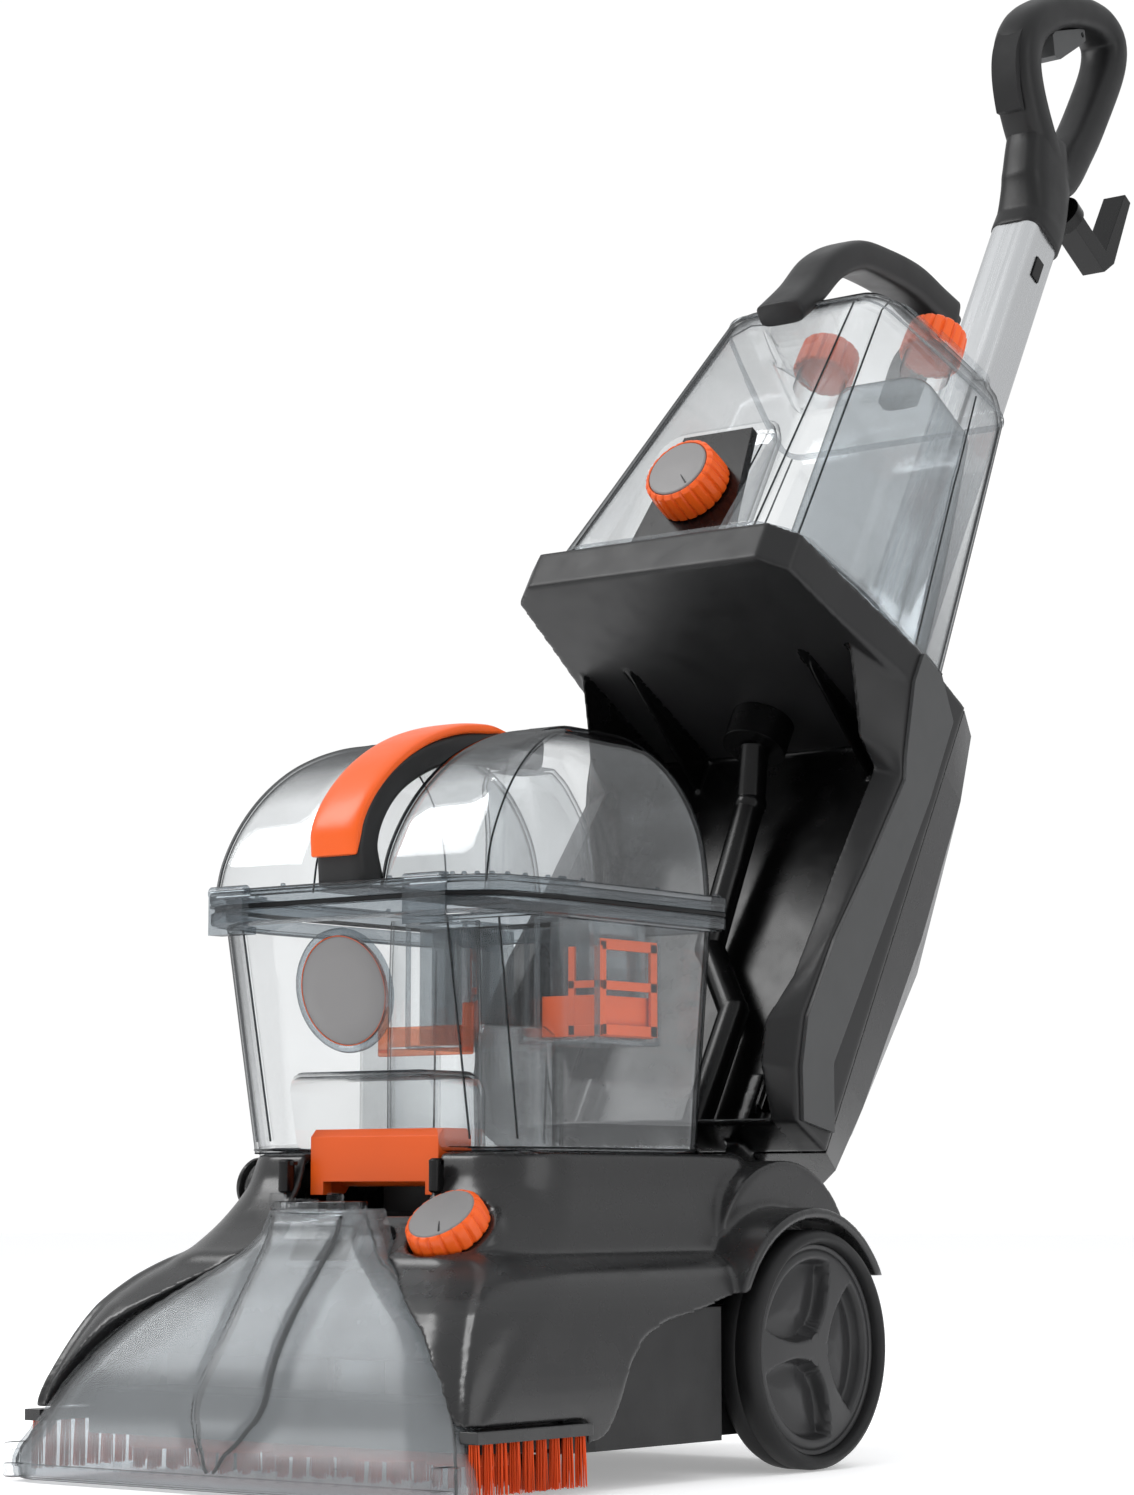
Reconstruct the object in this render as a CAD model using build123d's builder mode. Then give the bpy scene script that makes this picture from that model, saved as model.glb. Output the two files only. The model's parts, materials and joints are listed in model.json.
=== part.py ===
"""Upright carpet washer: driven nozzle base, lift-off dirty water tank, reclining body, clean water tank.

Base pieces are drawn with y measured back from the front of the nozzle lip and z up from the floor.
Body pieces are drawn upright on the recline pivot (y back, z up) and leaned back when they are placed.
"""
from build123d import *
import math
import os

os.makedirs("parts", exist_ok=True)

# driving dimensions, mm
MID_Y = 476.65         # from the nozzle lip to the middle of the machine's length
LEAN = 30.0            # body angle behind the vertical
PIVOT_Y = 335.0
PIVOT_Z = 100.0
WHEEL_Y = 320.0
WHEEL_R = 65.0
WHEEL_IN = 125.0
WHEEL_OUT = 153.0
AXLE_R = 6.0
RUN = 0.05             # radial clearance of every running fit
WALL = 3.0
SEAT_Z = 171.0         # top of the hood, where the dirty tank stands
RIM_Z = 303.0          # top of the dirty tank
BRUSH_Y = 76.0
BRUSH_PITCH = 52.0
GEAR_TEETH = 20
PINION_TEETH = 10
MODULE = 2.6
TRAY_Z = 399.0         # top rim of the body's tray, along the body

BASE = Location((0, -MID_Y, 0))
SIN = math.sin(math.radians(LEAN))
COS = math.cos(math.radians(LEAN))
BODY = Plane(origin=(0, PIVOT_Y - MID_Y, PIVOT_Z), x_dir=(1, 0, 0), z_dir=(0, SIN, COS)).location
SIDES = (1, -1)
KNOB = Plane(origin=(76, 94.6, 128.5), x_dir=(1, 0, 0), z_dir=(0, -0.643, 0.766))   # mode knob's seat


def save(name, build, where):
    """Place one finished piece in the machine's frame and write it out."""
    placed = build.part.moved(where)
    placed.label = name
    export_step(placed, f"parts/{name}.step")


def block(x0, x1, y0, y1, z0, z1, mode=Mode.ADD):
    """Box between two corners."""
    with Locations(((x0 + x1) / 2, (y0 + y1) / 2, (z0 + z1) / 2)):
        Box(abs(x1 - x0), abs(y1 - y0), abs(z1 - z0), mode=mode)


def rod(start, end, radius, mode=Mode.ADD):
    """Round bar between two points."""
    a = Vector(*start)
    b = Vector(*end)
    with Locations(Plane(origin=(a + b) * 0.5, z_dir=b - a)):
        Cylinder(radius, (b - a).length, mode=mode)


def profile(points, x0, x1, mode=Mode.ADD):
    """Side outline of (y, z) points, filled between two x positions."""
    with BuildSketch(Plane.YZ.offset(x0)) as outline:
        with BuildLine():
            Polyline(*points, close=True)
        make_face()
    extrude(outline.sketch, amount=x1 - x0, dir=(1, 0, 0), mode=mode)


def plan_loft(levels, mode=Mode.ADD):
    """Straight-sided loft through symmetric plan outlines given as (z, half outline)."""
    sections = []
    for z, half in levels:
        left = [(-x, y) for x, y in reversed(half)]
        with BuildSketch(Plane.XY.offset(z)) as level:
            with BuildLine():
                Polyline(*(list(half) + left), close=True)
            make_face()
        sections.append(level.sketch)
    loft(sections, ruled=True, mode=mode)


def box_loft(levels, mode=Mode.ADD):
    """Straight-sided loft through rounded rectangles given as (z, x0, x1, y0, y1, corner)."""
    sections = []
    for z, x0, x1, y0, y1, corner in levels:
        with BuildSketch(Plane.XY.offset(z)) as level:
            with Locations(((x0 + x1) / 2, (y0 + y1) / 2)):
                RectangleRounded(x1 - x0, y1 - y0, corner)
        sections.append(level.sketch)
    loft(sections, ruled=True, mode=mode)


def ribbed_knob(radius, height, ribs, cut):
    """Round grip standing on the working plane, with scallops around its edge."""
    Cylinder(radius, height, align=(Align.CENTER, Align.CENTER, Align.MIN))
    with PolarLocations(radius + cut * 0.45, ribs):
        Cylinder(cut, height, align=(Align.CENTER, Align.CENTER, Align.MIN), mode=Mode.SUBTRACT)


# ---------------------------------------------------------------- base: chassis
with BuildPart() as base_chassis:
    tub = [(0, 107), (138, 107), (141, 130), (141, 240), (118, 252), (118, 386)]
    with BuildSketch(Plane.XY.offset(20)):
        with BuildLine():
            Polyline(*(tub[1:] + [(-x, y) for x, y in reversed(tub[1:])]), close=True)
        make_face()
    extrude(amount=70)
    with BuildSketch(Plane.XY.offset(24)):
        with BuildLine():
            Polyline(*(tub[1:] + [(-x, y) for x, y in reversed(tub[1:])]), close=True)
        make_face()
        offset(amount=-WALL, kind=Kind.INTERSECTION, mode=Mode.REPLACE)
    extrude(amount=80, mode=Mode.SUBTRACT)
    # flat belly pad that a storage tray can carry
    block(-50, 50, 150, 262, 17, 21)
    # room for the brush gearbox behind the front wall
    block(-20, 20, 100, 134, 19, 100, mode=Mode.SUBTRACT)
    for s in SIDES:
        # axle bosses and recline brackets
        block(s * 104, s * 115, WHEEL_Y - 14, WHEEL_Y + 14, 24, 80)
        block(s * 48, s * 54.5, PIVOT_Y - 15, PIVOT_Y + 15, 24, PIVOT_Z + 12)
        # front roller pockets and their ears
        block(s * 98, s * 118, 108, 132, 19, 25, mode=Mode.SUBTRACT)
        block(s * 95, s * 98, 113, 127, 4, 24)
        block(s * 118, s * 121, 113, 127, 4, 24)
    rod((-130, WHEEL_Y, WHEEL_R), (130, WHEEL_Y, WHEEL_R), AXLE_R, mode=Mode.SUBTRACT)
    rod((-60, PIVOT_Y, PIVOT_Z), (60, PIVOT_Y, PIVOT_Z), 5, mode=Mode.SUBTRACT)
    for s in SIDES:
        rod((s * 94, 120, 9), (s * 122, 120, 9), 2.5, mode=Mode.SUBTRACT)

# ---------------------------------------------------------------- base: hood
HOOD = (
    (24, -148, 148, 14, 392, 30),
    (90, -147, 147, 20, 392, 40),
    (112, -140, 140, 46, 388, 44),
    (124, -126, 126, 72, 380, 40),
    (140, -114, 114, 98, 360, 34),
    (SEAT_Z, -107, 107, 112, 330, 24),
)
HOOD_IN = (
    (10, -145, 145, 17, 389, 27),
    (89, -144, 144, 23, 389, 37),
    (110.5, -137, 137, 49, 385, 41),
    (122, -123, 123, 75, 377, 37),
    (138, -111, 111, 101, 357, 31),
    (SEAT_Z - WALL, -104, 104, 115, 327, 21),
)
BELL = ((153, 0), (153, 18), (143, 36), (129, 60), (107, 85), (75, 105), (50, 121), (38, 136), (34, 180))
RECESS = ((-10, 0), (36, 0), (46, 60), (66, 100), (96, 125), (98, 180), (-10, 180))


def recess_shape(grow):
    """Bell-shaped bay in the hood's nose, opened out by the same amount all round."""
    with BuildSketch(Plane.XZ.offset(-110)) as front:
        with BuildLine():
            Polyline(*(list(BELL) + [(-x, z) for x, z in reversed(BELL)]), close=True)
        make_face()
        if grow:
            offset(amount=grow, kind=Kind.INTERSECTION, mode=Mode.REPLACE)
    extrude(front.sketch, amount=130, dir=(0, -1, 0))
    profile([(y + (grow if y > 0 else 0), z) for y, z in RECESS], -170, 170, mode=Mode.INTERSECT)


with BuildPart() as nozzle_recess:
    recess_shape(0)

with BuildPart() as recess_backing:
    recess_shape(WALL)

with BuildPart() as hood_cavity:
    box_loft(HOOD_IN)
    rod((-115, PIVOT_Y, PIVOT_Z), (115, PIVOT_Y, PIVOT_Z), 65)
    add(recess_backing.part, mode=Mode.SUBTRACT)
    for s in SIDES:
        block(s * 115, s * 150, 243, 400, 0, 180, mode=Mode.SUBTRACT)

with BuildPart() as base_hood:
    box_loft(HOOD)
    rod((-118, PIVOT_Y, PIVOT_Z), (118, PIVOT_Y, PIVOT_Z), 68)
    for s in SIDES:
        rod((s * 118, WHEEL_Y, WHEEL_R), (s * 149, WHEEL_Y, WHEEL_R), 77)
    # round seat of the mode knob
    with Locations(KNOB.offset(-14)):
        Cylinder(27, 14, align=(Align.CENTER, Align.CENTER, Align.MIN))
    add(hood_cavity.part, mode=Mode.SUBTRACT)
    with Locations(KNOB.offset(-3)):
        Cylinder(27, 3, align=(Align.CENTER, Align.CENTER, Align.MIN))
    with Locations(KNOB):
        Cylinder(24, 40, align=(Align.CENTER, Align.CENTER, Align.MIN), mode=Mode.SUBTRACT)
    with Locations(KNOB.offset(-20)):
        Cylinder(3 + RUN, 30, align=(Align.CENTER, Align.CENTER, Align.MIN), mode=Mode.SUBTRACT)
    for s in SIDES:
        rod((s * 118, WHEEL_Y, WHEEL_R), (s * 165, WHEEL_Y, WHEEL_R), 71, mode=Mode.SUBTRACT)
        lower_edge = [(110, -20), (110, 26), (133, 26), (147, 60), (171, 80), (234, 91), (257, 98)]
        cut_from = s * 112
        profile(lower_edge + [(380, 104), (420, 104), (420, -20)], cut_from, s * 165, mode=Mode.SUBTRACT)
        block(s * 136, s * 165, 5, 110, 0, 36, mode=Mode.SUBTRACT)
        # slots for the body's two hinge arms
        block(s * 54, s * 69, 328, 430, 112, 190, mode=Mode.SUBTRACT)
    block(-118, 118, 230, 420, -2, 40, mode=Mode.SUBTRACT)
    add(nozzle_recess.part, mode=Mode.SUBTRACT)
    block(-136, 136, -5, 106.7, 0, 68, mode=Mode.SUBTRACT)
    # release lever bay, duct port and air port in the tank seat
    block(-48, 48, 84, 152, 138, 190, mode=Mode.SUBTRACT)
    block(-24.5, 24.5, 60, 184.5, 111.5, 137.5, mode=Mode.SUBTRACT)
    block(-24.5, 24.5, 155.5, 184.5, 111.5, 190, mode=Mode.SUBTRACT)
    block(-17.5, 17.5, 227.5, 259.5, 160, 190, mode=Mode.SUBTRACT)
    # port behind the small door on the left side
    rod((-125, 150, 155), (-95, 150, 155), 7, mode=Mode.SUBTRACT)

# ---------------------------------------------------------------- base: nozzle
SHEET = ((0, 1.5), (0, 14), (10, 34), (22, 60), (40, 88), (58, 112), (68, 128), (70, 141))


def sheet_band(shift, thick, top=141.0):
    """Side outline of the curved nozzle sheet, moved back and thickened."""
    front = [(y + shift, z) for y, z in SHEET]
    back = [(y + shift + thick, z) for y, z in reversed(SHEET)]
    return front + back


def bell_outline(shrink):
    """Front outline of the nozzle, drawn in by the same amount all round."""
    pts = [(150, 1.5), (150, 14), (140, 34), (126, 58), (104, 82), (72, 102), (46, 118), (34, 132), (30, 141)]
    with BuildLine() as edge:
        Polyline(*(pts + [(-x, z) for x, z in reversed(pts)]), close=True)
    make_face(edge.edges())
    if shrink:
        offset(amount=-shrink, kind=Kind.INTERSECTION, mode=Mode.REPLACE)


with BuildPart() as cover_hollow:
    with BuildSketch(Plane.XZ.offset(-100)):
        bell_outline(WALL)
    extrude(amount=110)
    profile(sheet_band(WALL, 20), -160, 160, mode=Mode.INTERSECT)

with BuildPart() as nozzle_cover:
    with BuildSketch(Plane.XZ.offset(-100)):
        bell_outline(0)
    extrude(amount=110)
    profile(sheet_band(0, 14), -160, 160, mode=Mode.INTERSECT)
    add(cover_hollow.part, mode=Mode.SUBTRACT)
    # suction slot along the lip
    block(-146, 146, 3, 20, 0, 6, mode=Mode.SUBTRACT)
    # finger rail and latch ring on top of the neck
    with BuildSketch(Plane.XY.offset(141)):
        with Locations((0, 79)):
            Ellipse(31, 14)
            Ellipse(24, 8, mode=Mode.SUBTRACT)
    extrude(amount=5)
    # stiffening ridges that frame the middle duct
    for s in SIDES:
        profile(sheet_band(2.9, 3), s * 16, s * 18, mode=Mode.ADD)

with BuildPart() as nozzle_backplate:
    with BuildSketch(Plane.XZ.offset(-110)):
        bell_outline(0)
    extrude(amount=130)
    profile(sheet_band(14.3, 2.7, 138.0), -160, 160, mode=Mode.INTERSECT)
    block(-21, 21, 60, 110, 115, 133, mode=Mode.SUBTRACT)

with BuildPart() as base_ducts:
    profile([(77, 112), (86.5, 128), (88.5, 136), (152, 136), (156, 140), (156, 170.7), (184, 170.7), (184, 112)],
            -24, 24)
    profile([(74, 114.5), (84, 133.5), (154, 133.5), (158.5, 140), (158.5, 180), (181.5, 180), (181.5, 114.5)],
            -21.5, 21.5, mode=Mode.SUBTRACT)
    # air path from the tank seat down to the motor
    block(-17, 17, 228, 259, 104.3, SEAT_Z - 0.2)
    block(-15, 15, 230, 257, 100, 180, mode=Mode.SUBTRACT)

# ---------------------------------------------------------------- base: brush gear
def gear_sketch(teeth, phase, bore):
    """Spur gear outline with straight-flanked teeth and generous backlash."""
    pitch = MODULE * teeth / 2
    half_pitch = 180 / teeth / 2
    pts = []
    for k in range(teeth):
        mid = phase + 360 * k / teeth
        root = pitch - 1.2 * MODULE
        tip = pitch + 0.8 * MODULE
        flank = ((root, -1.08), (pitch, -0.76), (tip, -0.36), (tip, 0.36), (pitch, 0.76), (root, 1.08))
        for r, share in flank:
            a = math.radians(mid + share * half_pitch)
            pts.append((r * math.cos(a), r * math.sin(a)))
    with BuildLine() as teeth_edge:
        Polyline(*pts, close=True)
    make_face(teeth_edge.edges())
    Circle(bore, mode=Mode.SUBTRACT)


def brush_rotor(x, phase):
    """One round scrubbing brush: gear, hub, disc and tufts, on its own post."""
    with BuildSketch(Plane(origin=(x, BRUSH_Y, 34))) as gear:
        gear_sketch(GEAR_TEETH, phase, 4 + RUN)
    extrude(gear.sketch, amount=7, dir=(0, 0, 1))
    with Locations((x, BRUSH_Y, 16)):
        Cylinder(22.5, 6, align=(Align.CENTER, Align.CENTER, Align.MIN))
        Cylinder(9, 18.5, align=(Align.CENTER, Align.CENTER, Align.MIN))
        with Locations((0, 0, 5)):
            Cylinder(4 + RUN, 30, align=(Align.CENTER, Align.CENTER, Align.MIN), mode=Mode.SUBTRACT)
    with Locations((x, BRUSH_Y, 3)):
        with PolarLocations(17.5, 9):
            Cylinder(4.2, 14, align=(Align.CENTER, Align.CENTER, Align.MIN))
        with PolarLocations(7, 4):
            Cylinder(3.2, 14, align=(Align.CENTER, Align.CENTER, Align.MIN))


with BuildPart() as brush_block:
    block(-135.5, 135.5, 45.5, 106.5, 23, 46)
    block(-18, 18, 105, 132.5, 23, 46)
    block(-133.5, 133.5, 47.3, 104.7, 20, 42, mode=Mode.SUBTRACT)
    block(-16, 16, 100, 130.9, 20, 42, mode=Mode.SUBTRACT)
    for k in range(-2, 3):
        rod((k * BRUSH_PITCH, BRUSH_Y, 24), (k * BRUSH_PITCH, BRUSH_Y, 43), 4)
    rod((0, 115, 30), (0, 115, 60), 3.2, mode=Mode.SUBTRACT)

brushes = []
for index in range(5):
    with BuildPart() as one_brush:
        brush_rotor((index - 2) * BRUSH_PITCH, 0 if index % 2 == 0 else 180 / GEAR_TEETH)
    brushes.append(one_brush)

with BuildPart() as brush_pinion:
    with BuildSketch(Plane(origin=(0, 115, 34))):
        gear_sketch(PINION_TEETH, 0, 2.5 + RUN)
    extrude(amount=7)

with BuildPart() as brush_motor:
    rod((0, 115, 46.3), (0, 115, 102), 16.5)
    rod((0, 115, 33), (0, 115, 50), 2.5)

with BuildPart() as edge_brush_holders:
    for s in SIDES:
        block(s * 144.5, s * 156, 18, 109, 30, 36)

with BuildPart() as edge_brush_tufts:
    for s in SIDES:
        for k in range(9):
            with Locations((s * 150.3, 22 + k * 10.4, 17)):
                Cone(3.7, 2.9, 26)

# ---------------------------------------------------------------- base: motor, pump, wheels
with BuildPart() as suction_motor:
    rod((0, 212, 24), (0, 212, 88), 36)
    rod((0, 212, 88), (0, 212, 104), 24)

with BuildPart() as water_pump:
    block(62, 106, 150, 200, 24, 58)
    rod((84, 200, 41), (84, 222, 41), 15)
    rod((84, 150, 48), (84, 136, 48), 5)

with BuildPart() as axle_and_pins:
    rod((-147, WHEEL_Y, WHEEL_R), (147, WHEEL_Y, WHEEL_R), AXLE_R)
    rod((-48, 144, 158), (48, 144, 158), 2.5)
    for s in SIDES:
        rod((s * 46, PIVOT_Y, PIVOT_Z), (s * 70, PIVOT_Y, PIVOT_Z), 5)
        rod((s * 95, 120, 9), (s * 121, 120, 9), 2.5)

tyres = []
hubs = []
for s in SIDES:
    with BuildPart() as tyre:
        rod((s * WHEEL_IN, WHEEL_Y, WHEEL_R), (s * WHEEL_OUT, WHEEL_Y, WHEEL_R), WHEEL_R)
        fillet(tyre.edges().filter_by(GeomType.CIRCLE), 5)
        rod((s * 120, WHEEL_Y, WHEEL_R), (s * 160, WHEEL_Y, WHEEL_R), 57, mode=Mode.SUBTRACT)
    tyres.append(tyre)
    with BuildPart() as hub:
        rod((s * 127, WHEEL_Y, WHEEL_R), (s * 150, WHEEL_Y, WHEEL_R), 57)
        rod((s * 119.5, WHEEL_Y, WHEEL_R), (s * 150, WHEEL_Y, WHEEL_R), 12)
        rod((s * 119, WHEEL_Y, WHEEL_R), (s * 147.5, WHEEL_Y, WHEEL_R), AXLE_R + RUN, mode=Mode.SUBTRACT)
        outer = Plane(origin=(s * 150, WHEEL_Y, WHEEL_R), x_dir=(0, 1, 0), z_dir=(s, 0, 0))
        for k in range(3):
            with BuildSketch(outer):
                with BuildLine():
                    a0 = 120 * k + 18
                    CenterArc((0, 0), 50, a0 + 2, 80)
                    CenterArc((0, 0), 18, a0 + 12, 60)
                    for a, b in ((a0 + 2, a0 + 12), (a0 + 82, a0 + 72)):
                        Line((50 * math.cos(math.radians(a)), 50 * math.sin(math.radians(a))),
                             (18 * math.cos(math.radians(b)), 18 * math.sin(math.radians(b))))
                make_face()
            extrude(amount=-12, mode=Mode.SUBTRACT)
    hubs.append(hub)

with BuildPart() as front_rollers:
    for s in SIDES:
        rod((s * 98.6, 120, 9), (s * 117.4, 120, 9), 9)
    fillet(front_rollers.edges().filter_by(GeomType.CIRCLE), 1.5)
    for s in SIDES:
        rod((s * 98, 120, 9), (s * 118, 120, 9), 2.5 + RUN, mode=Mode.SUBTRACT)

# ---------------------------------------------------------------- base: controls
with BuildPart() as mode_knob:
    with Locations(KNOB.offset(0.5)):
        ribbed_knob(22, 13.5, 18, 1.6)
        Cylinder(19.5, 14.5, align=(Align.CENTER, Align.CENTER, Align.MIN))
    with Locations(KNOB.offset(-12)):
        Cylinder(3, 16, align=(Align.CENTER, Align.CENTER, Align.MIN))

LEVER = ((120, 149), (120, 180), (124, 184), (143, 184), (147, 180), (147, 172), (141, 172), (141, 176),
         (127, 176), (127, 149))
with BuildPart() as release_lever:
    profile(LEVER, -45, 45)
    for s in SIDES:
        profile([(120, 149), (127, 176), (146, 176), (152, 160), (144, 150)], s * 41, s * 45)
    rod((-46, 144, 158), (46, 144, 158), 4.5)
    block(-36, 36, 100, 130, 140, 156, mode=Mode.SUBTRACT)
    rod((-50, 144, 158), (50, 144, 158), 2.5 + RUN, mode=Mode.SUBTRACT)

PEDAL = [(352, 176), (352, 173), (373, 166), (386, 155), (389, 158), (376, 170)]
with BuildPart() as power_pedal:
    profile(PEDAL, -40, -12)

with BuildPart() as recline_pedal:
    profile(PEDAL, 12, 40)

DOOR = Plane(origin=(-111.4, 150, 155), x_dir=(0, -1, 0), z_dir=(-0.975, 0, 0.22))
with BuildPart() as hose_port_door:
    with BuildSketch(DOOR):
        RectangleRounded(34, 24, 5)
    extrude(amount=3)

with BuildPart() as base_screws:
    for x, y in ((60, 280), (-60, 280), (100, 180), (-100, 180), (0, 360)):
        with Locations((x, y, 18.5)):
            Cylinder(4, 1.5, align=(Align.CENTER, Align.CENTER, Align.MIN))

# ---------------------------------------------------------------- dirty water tank
TANK = (
    (SEAT_Z + 0.3, ((71, 115), (95, 125), (99, 160), (97, 286))),
    (297, ((73, 91), (98, 104), (104, 150), (102, 294))),
)
TANK_IN = (
    (SEAT_Z + 3.3, ((68.5, 118), (92.5, 127), (96.4, 160), (94.5, 283.4))),
    (310, ((70.7, 91.2), (95.6, 104), (101.8, 150), (99.8, 292.4))),
)
RIM = TANK[1][1]


def rim_plate(z0, z1, grow, mode=Mode.ADD):
    """Flat plate with the outline of the tank's rim."""
    with BuildSketch(Plane.XY.offset(z0)) as outline:
        with BuildLine():
            Polyline(*(list(RIM) + [(-x, y) for x, y in reversed(RIM)]), close=True)
        make_face()
        offset(amount=grow, kind=Kind.ARC, mode=Mode.REPLACE)
    extrude(outline.sketch, amount=z1 - z0, dir=(0, 0, 1), mode=mode)


with BuildPart() as tank_hollow:
    plan_loft(TANK_IN)
    block(-52.5, 52.5, 80, 154.5, 160, 214.5, mode=Mode.SUBTRACT)

with BuildPart() as dirty_tank:
    plan_loft(TANK)
    rim_plate(293, RIM_Z, 6)
    block(-50, 50, 80, 152, 160, 212, mode=Mode.SUBTRACT)
    add(tank_hollow.part, mode=Mode.SUBTRACT)
    # air stack up the back of the tank
    block(-20, 20, 225, 262, SEAT_Z + 0.3, 298)
    block(-17.5, 17.5, 227.5, 259.5, 160, 310, mode=Mode.SUBTRACT)
    # inlet pipe behind the release lever's bay
    block(-24, 24, 156, 184, SEAT_Z + 0.3, 300)
    block(-21.5, 21.5, 158.5, 181.5, 160, 310, mode=Mode.SUBTRACT)
    # baffles
    for s in SIDES:
        block(s * 40, s * 42, 157, 222, SEAT_Z + 3, 240)

with BuildPart() as badge:
    with Locations(Plane(origin=(0, 98.2, 257), x_dir=(1, 0, 0), z_dir=(0, -1, -0.191))):
        Cylinder(29, 4.5, align=(Align.CENTER, Align.CENTER, Align.MIN))
        Cylinder(24.5, 6, align=(Align.CENTER, Align.CENTER, Align.MIN))

# ---------------------------------------------------------------- dirty tank lid
DOME = (
    (RIM_Z + 8, 20, 98, 93, 296, 14),
    (352, 22, 94, 112, 291, 18),
    (386, 26, 86, 150, 264, 18),
    (403, 34, 74, 186, 248, 14),
)
DOME_IN = (
    (RIM_Z - 2, 22.5, 95.5, 95.5, 293.5, 12),
    (351, 24.5, 91.5, 114.5, 288.5, 16),
    (384.4, 28.5, 83.5, 152.5, 261.5, 16),
    (400.5, 36.5, 71.5, 188.5, 245.5, 12),
)
STACK = ((RIM_Z + 8, -21, 21, 230, 296, 6), (352, -21, 21, 230, 291, 6), (390, -18, 18, 222, 262, 6))
STACK_IN = ((RIM_Z - 2, -18.5, 18.5, 232.5, 293, 4), (351, -18.5, 18.5, 232.5, 288.5, 4),
            (387.5, -15.5, 15.5, 224.5, 259.5, 4))


def mirrored(levels):
    """The same levels on the other side of the middle plane."""
    return tuple((z, -x1, -x0, y0, y1, c) for z, x0, x1, y0, y1, c in levels)


with BuildPart() as lid_hollow:
    box_loft(DOME_IN)
    box_loft(mirrored(DOME_IN))
    box_loft(STACK_IN)

with BuildPart() as dirty_tank_lid:
    rim_plate(RIM_Z + 2, RIM_Z + 11, 6)
    rim_plate(RIM_Z + 1, RIM_Z + 7, -3, mode=Mode.SUBTRACT)
    box_loft(DOME)
    box_loft(mirrored(DOME))
    box_loft(STACK)
    add(lid_hollow.part, mode=Mode.SUBTRACT)
    for s in SIDES:
        for x in (53, 82):
            block(s * x, s * (x + 3), 74, 88, 306, 315)
        rod((s * 53, 79, 311), (s * 85, 79, 311), 1.6)

with BuildPart() as lid_gasket:
    rim_plate(RIM_Z, RIM_Z + 2, 4)
    rim_plate(RIM_Z - 1, RIM_Z + 3, -1, mode=Mode.SUBTRACT)

latches = []
for s in SIDES:
    with BuildPart() as latch:
        block(s * 56.5, s * 81.5, 76, 81, 288.2, 311)
        block(s * 56.5, s * 81.5, 76, 87, 288.2, 292.4)
        rod((s * 56.5, 79, 311), (s * 81.5, 79, 311), 3.6)
        rod((s * 50, 79, 311), (s * 90, 79, 311), 1.6 + RUN, mode=Mode.SUBTRACT)
    latches.append(latch)

HANDLE_MID = [(91, 325), (100, 347), (115, 367), (143, 388), (174, 399), (214, 401)]
with BuildPart() as lid_handle_core:
    lower = [(252, 390.3), (232, 390.3), (214, 392), (182, 389), (157, 373), (130, 343), (120, 327), (117, 314.3)]
    profile(HANDLE_MID + [(214, 408), (240, 408), (251, 402)] + lower + [(95, 314.3)], -16, 16)

with BuildPart() as lid_handle_grip:
    profile([(84, 328), (93, 351), (109, 373), (139, 395), (172, 406), (214, 408)] + HANDLE_MID[::-1], -17, 17)

with BuildPart() as separator:
    for s in SIDES:
        block(s * 24, s * 70, 225, 285, 231, 235)
        block(s * 24, s * 26.5, 225, 285, 231, RIM_Z + 3)
        block(s * 67.5, s * 70, 225, 285, 231, 290)
        for y in (225, 282.5):
            block(s * 24, s * 70, y, y + 2.5, 231, 290)
        block(s * 34, s * 60, 240, 270, 230, 236, mode=Mode.SUBTRACT)
    block(-26, 26, 282.5, 285, 270, RIM_Z + 3)
    block(-24, 24, 262.5, 285, 290, 293)

with BuildPart() as float_valve:
    block(28.5, 65.5, 228.5, 281.5, 235.4, 258)

# ---------------------------------------------------------------- body, drawn upright on the pivot
WALL_IN = [(-170, 399), (-170, 372), (-105, 372), (-69, 330), (-46, 323), (-50, 275), (-57, 167),
           (-69, 130), (-61, 107), (-36, 84), (0, 84), (0, 399)]
WALL_OUT = [(-60, 399), (-60, 376), (-58, 374), (-45, 331), (-40, 318), (-48, 250), (-57, 193),
            (-59, 140), (-50, 110), (-34, 84), (0, 84), (0, 399)]
SHELF = ((85, -190), (101, -176), (107, -126), (116, -56), (118, -36), (118, 0))


def side_wall(x_in, x_out, inner, outer, mode=Mode.ADD):
    """Side wall whose front edge is bevelled from the inner to the outer outline."""
    sections = []
    for x, points in ((x_in, inner), (x_out, outer)):
        with BuildSketch(Plane.YZ.offset(x)) as level:
            with BuildLine():
                Polyline(*points, close=True)
            make_face()
        sections.append(level.sketch)
    loft(sections, ruled=True, mode=mode)


def shelf_plate(z0, z1, inset, mode=Mode.ADD):
    """Plate with the outline of the tray that carries the clean water tank."""
    with BuildSketch(Plane.XY.offset(z0)) as outline:
        with BuildLine():
            Polyline(*(list(SHELF) + [(-x, y) for x, y in reversed(SHELF)]), close=True)
        make_face()
        if inset:
            offset(amount=-inset, kind=Kind.INTERSECTION, mode=Mode.REPLACE)
    extrude(outline.sketch, amount=z1 - z0, dir=(0, 0, 1), mode=mode)


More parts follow.
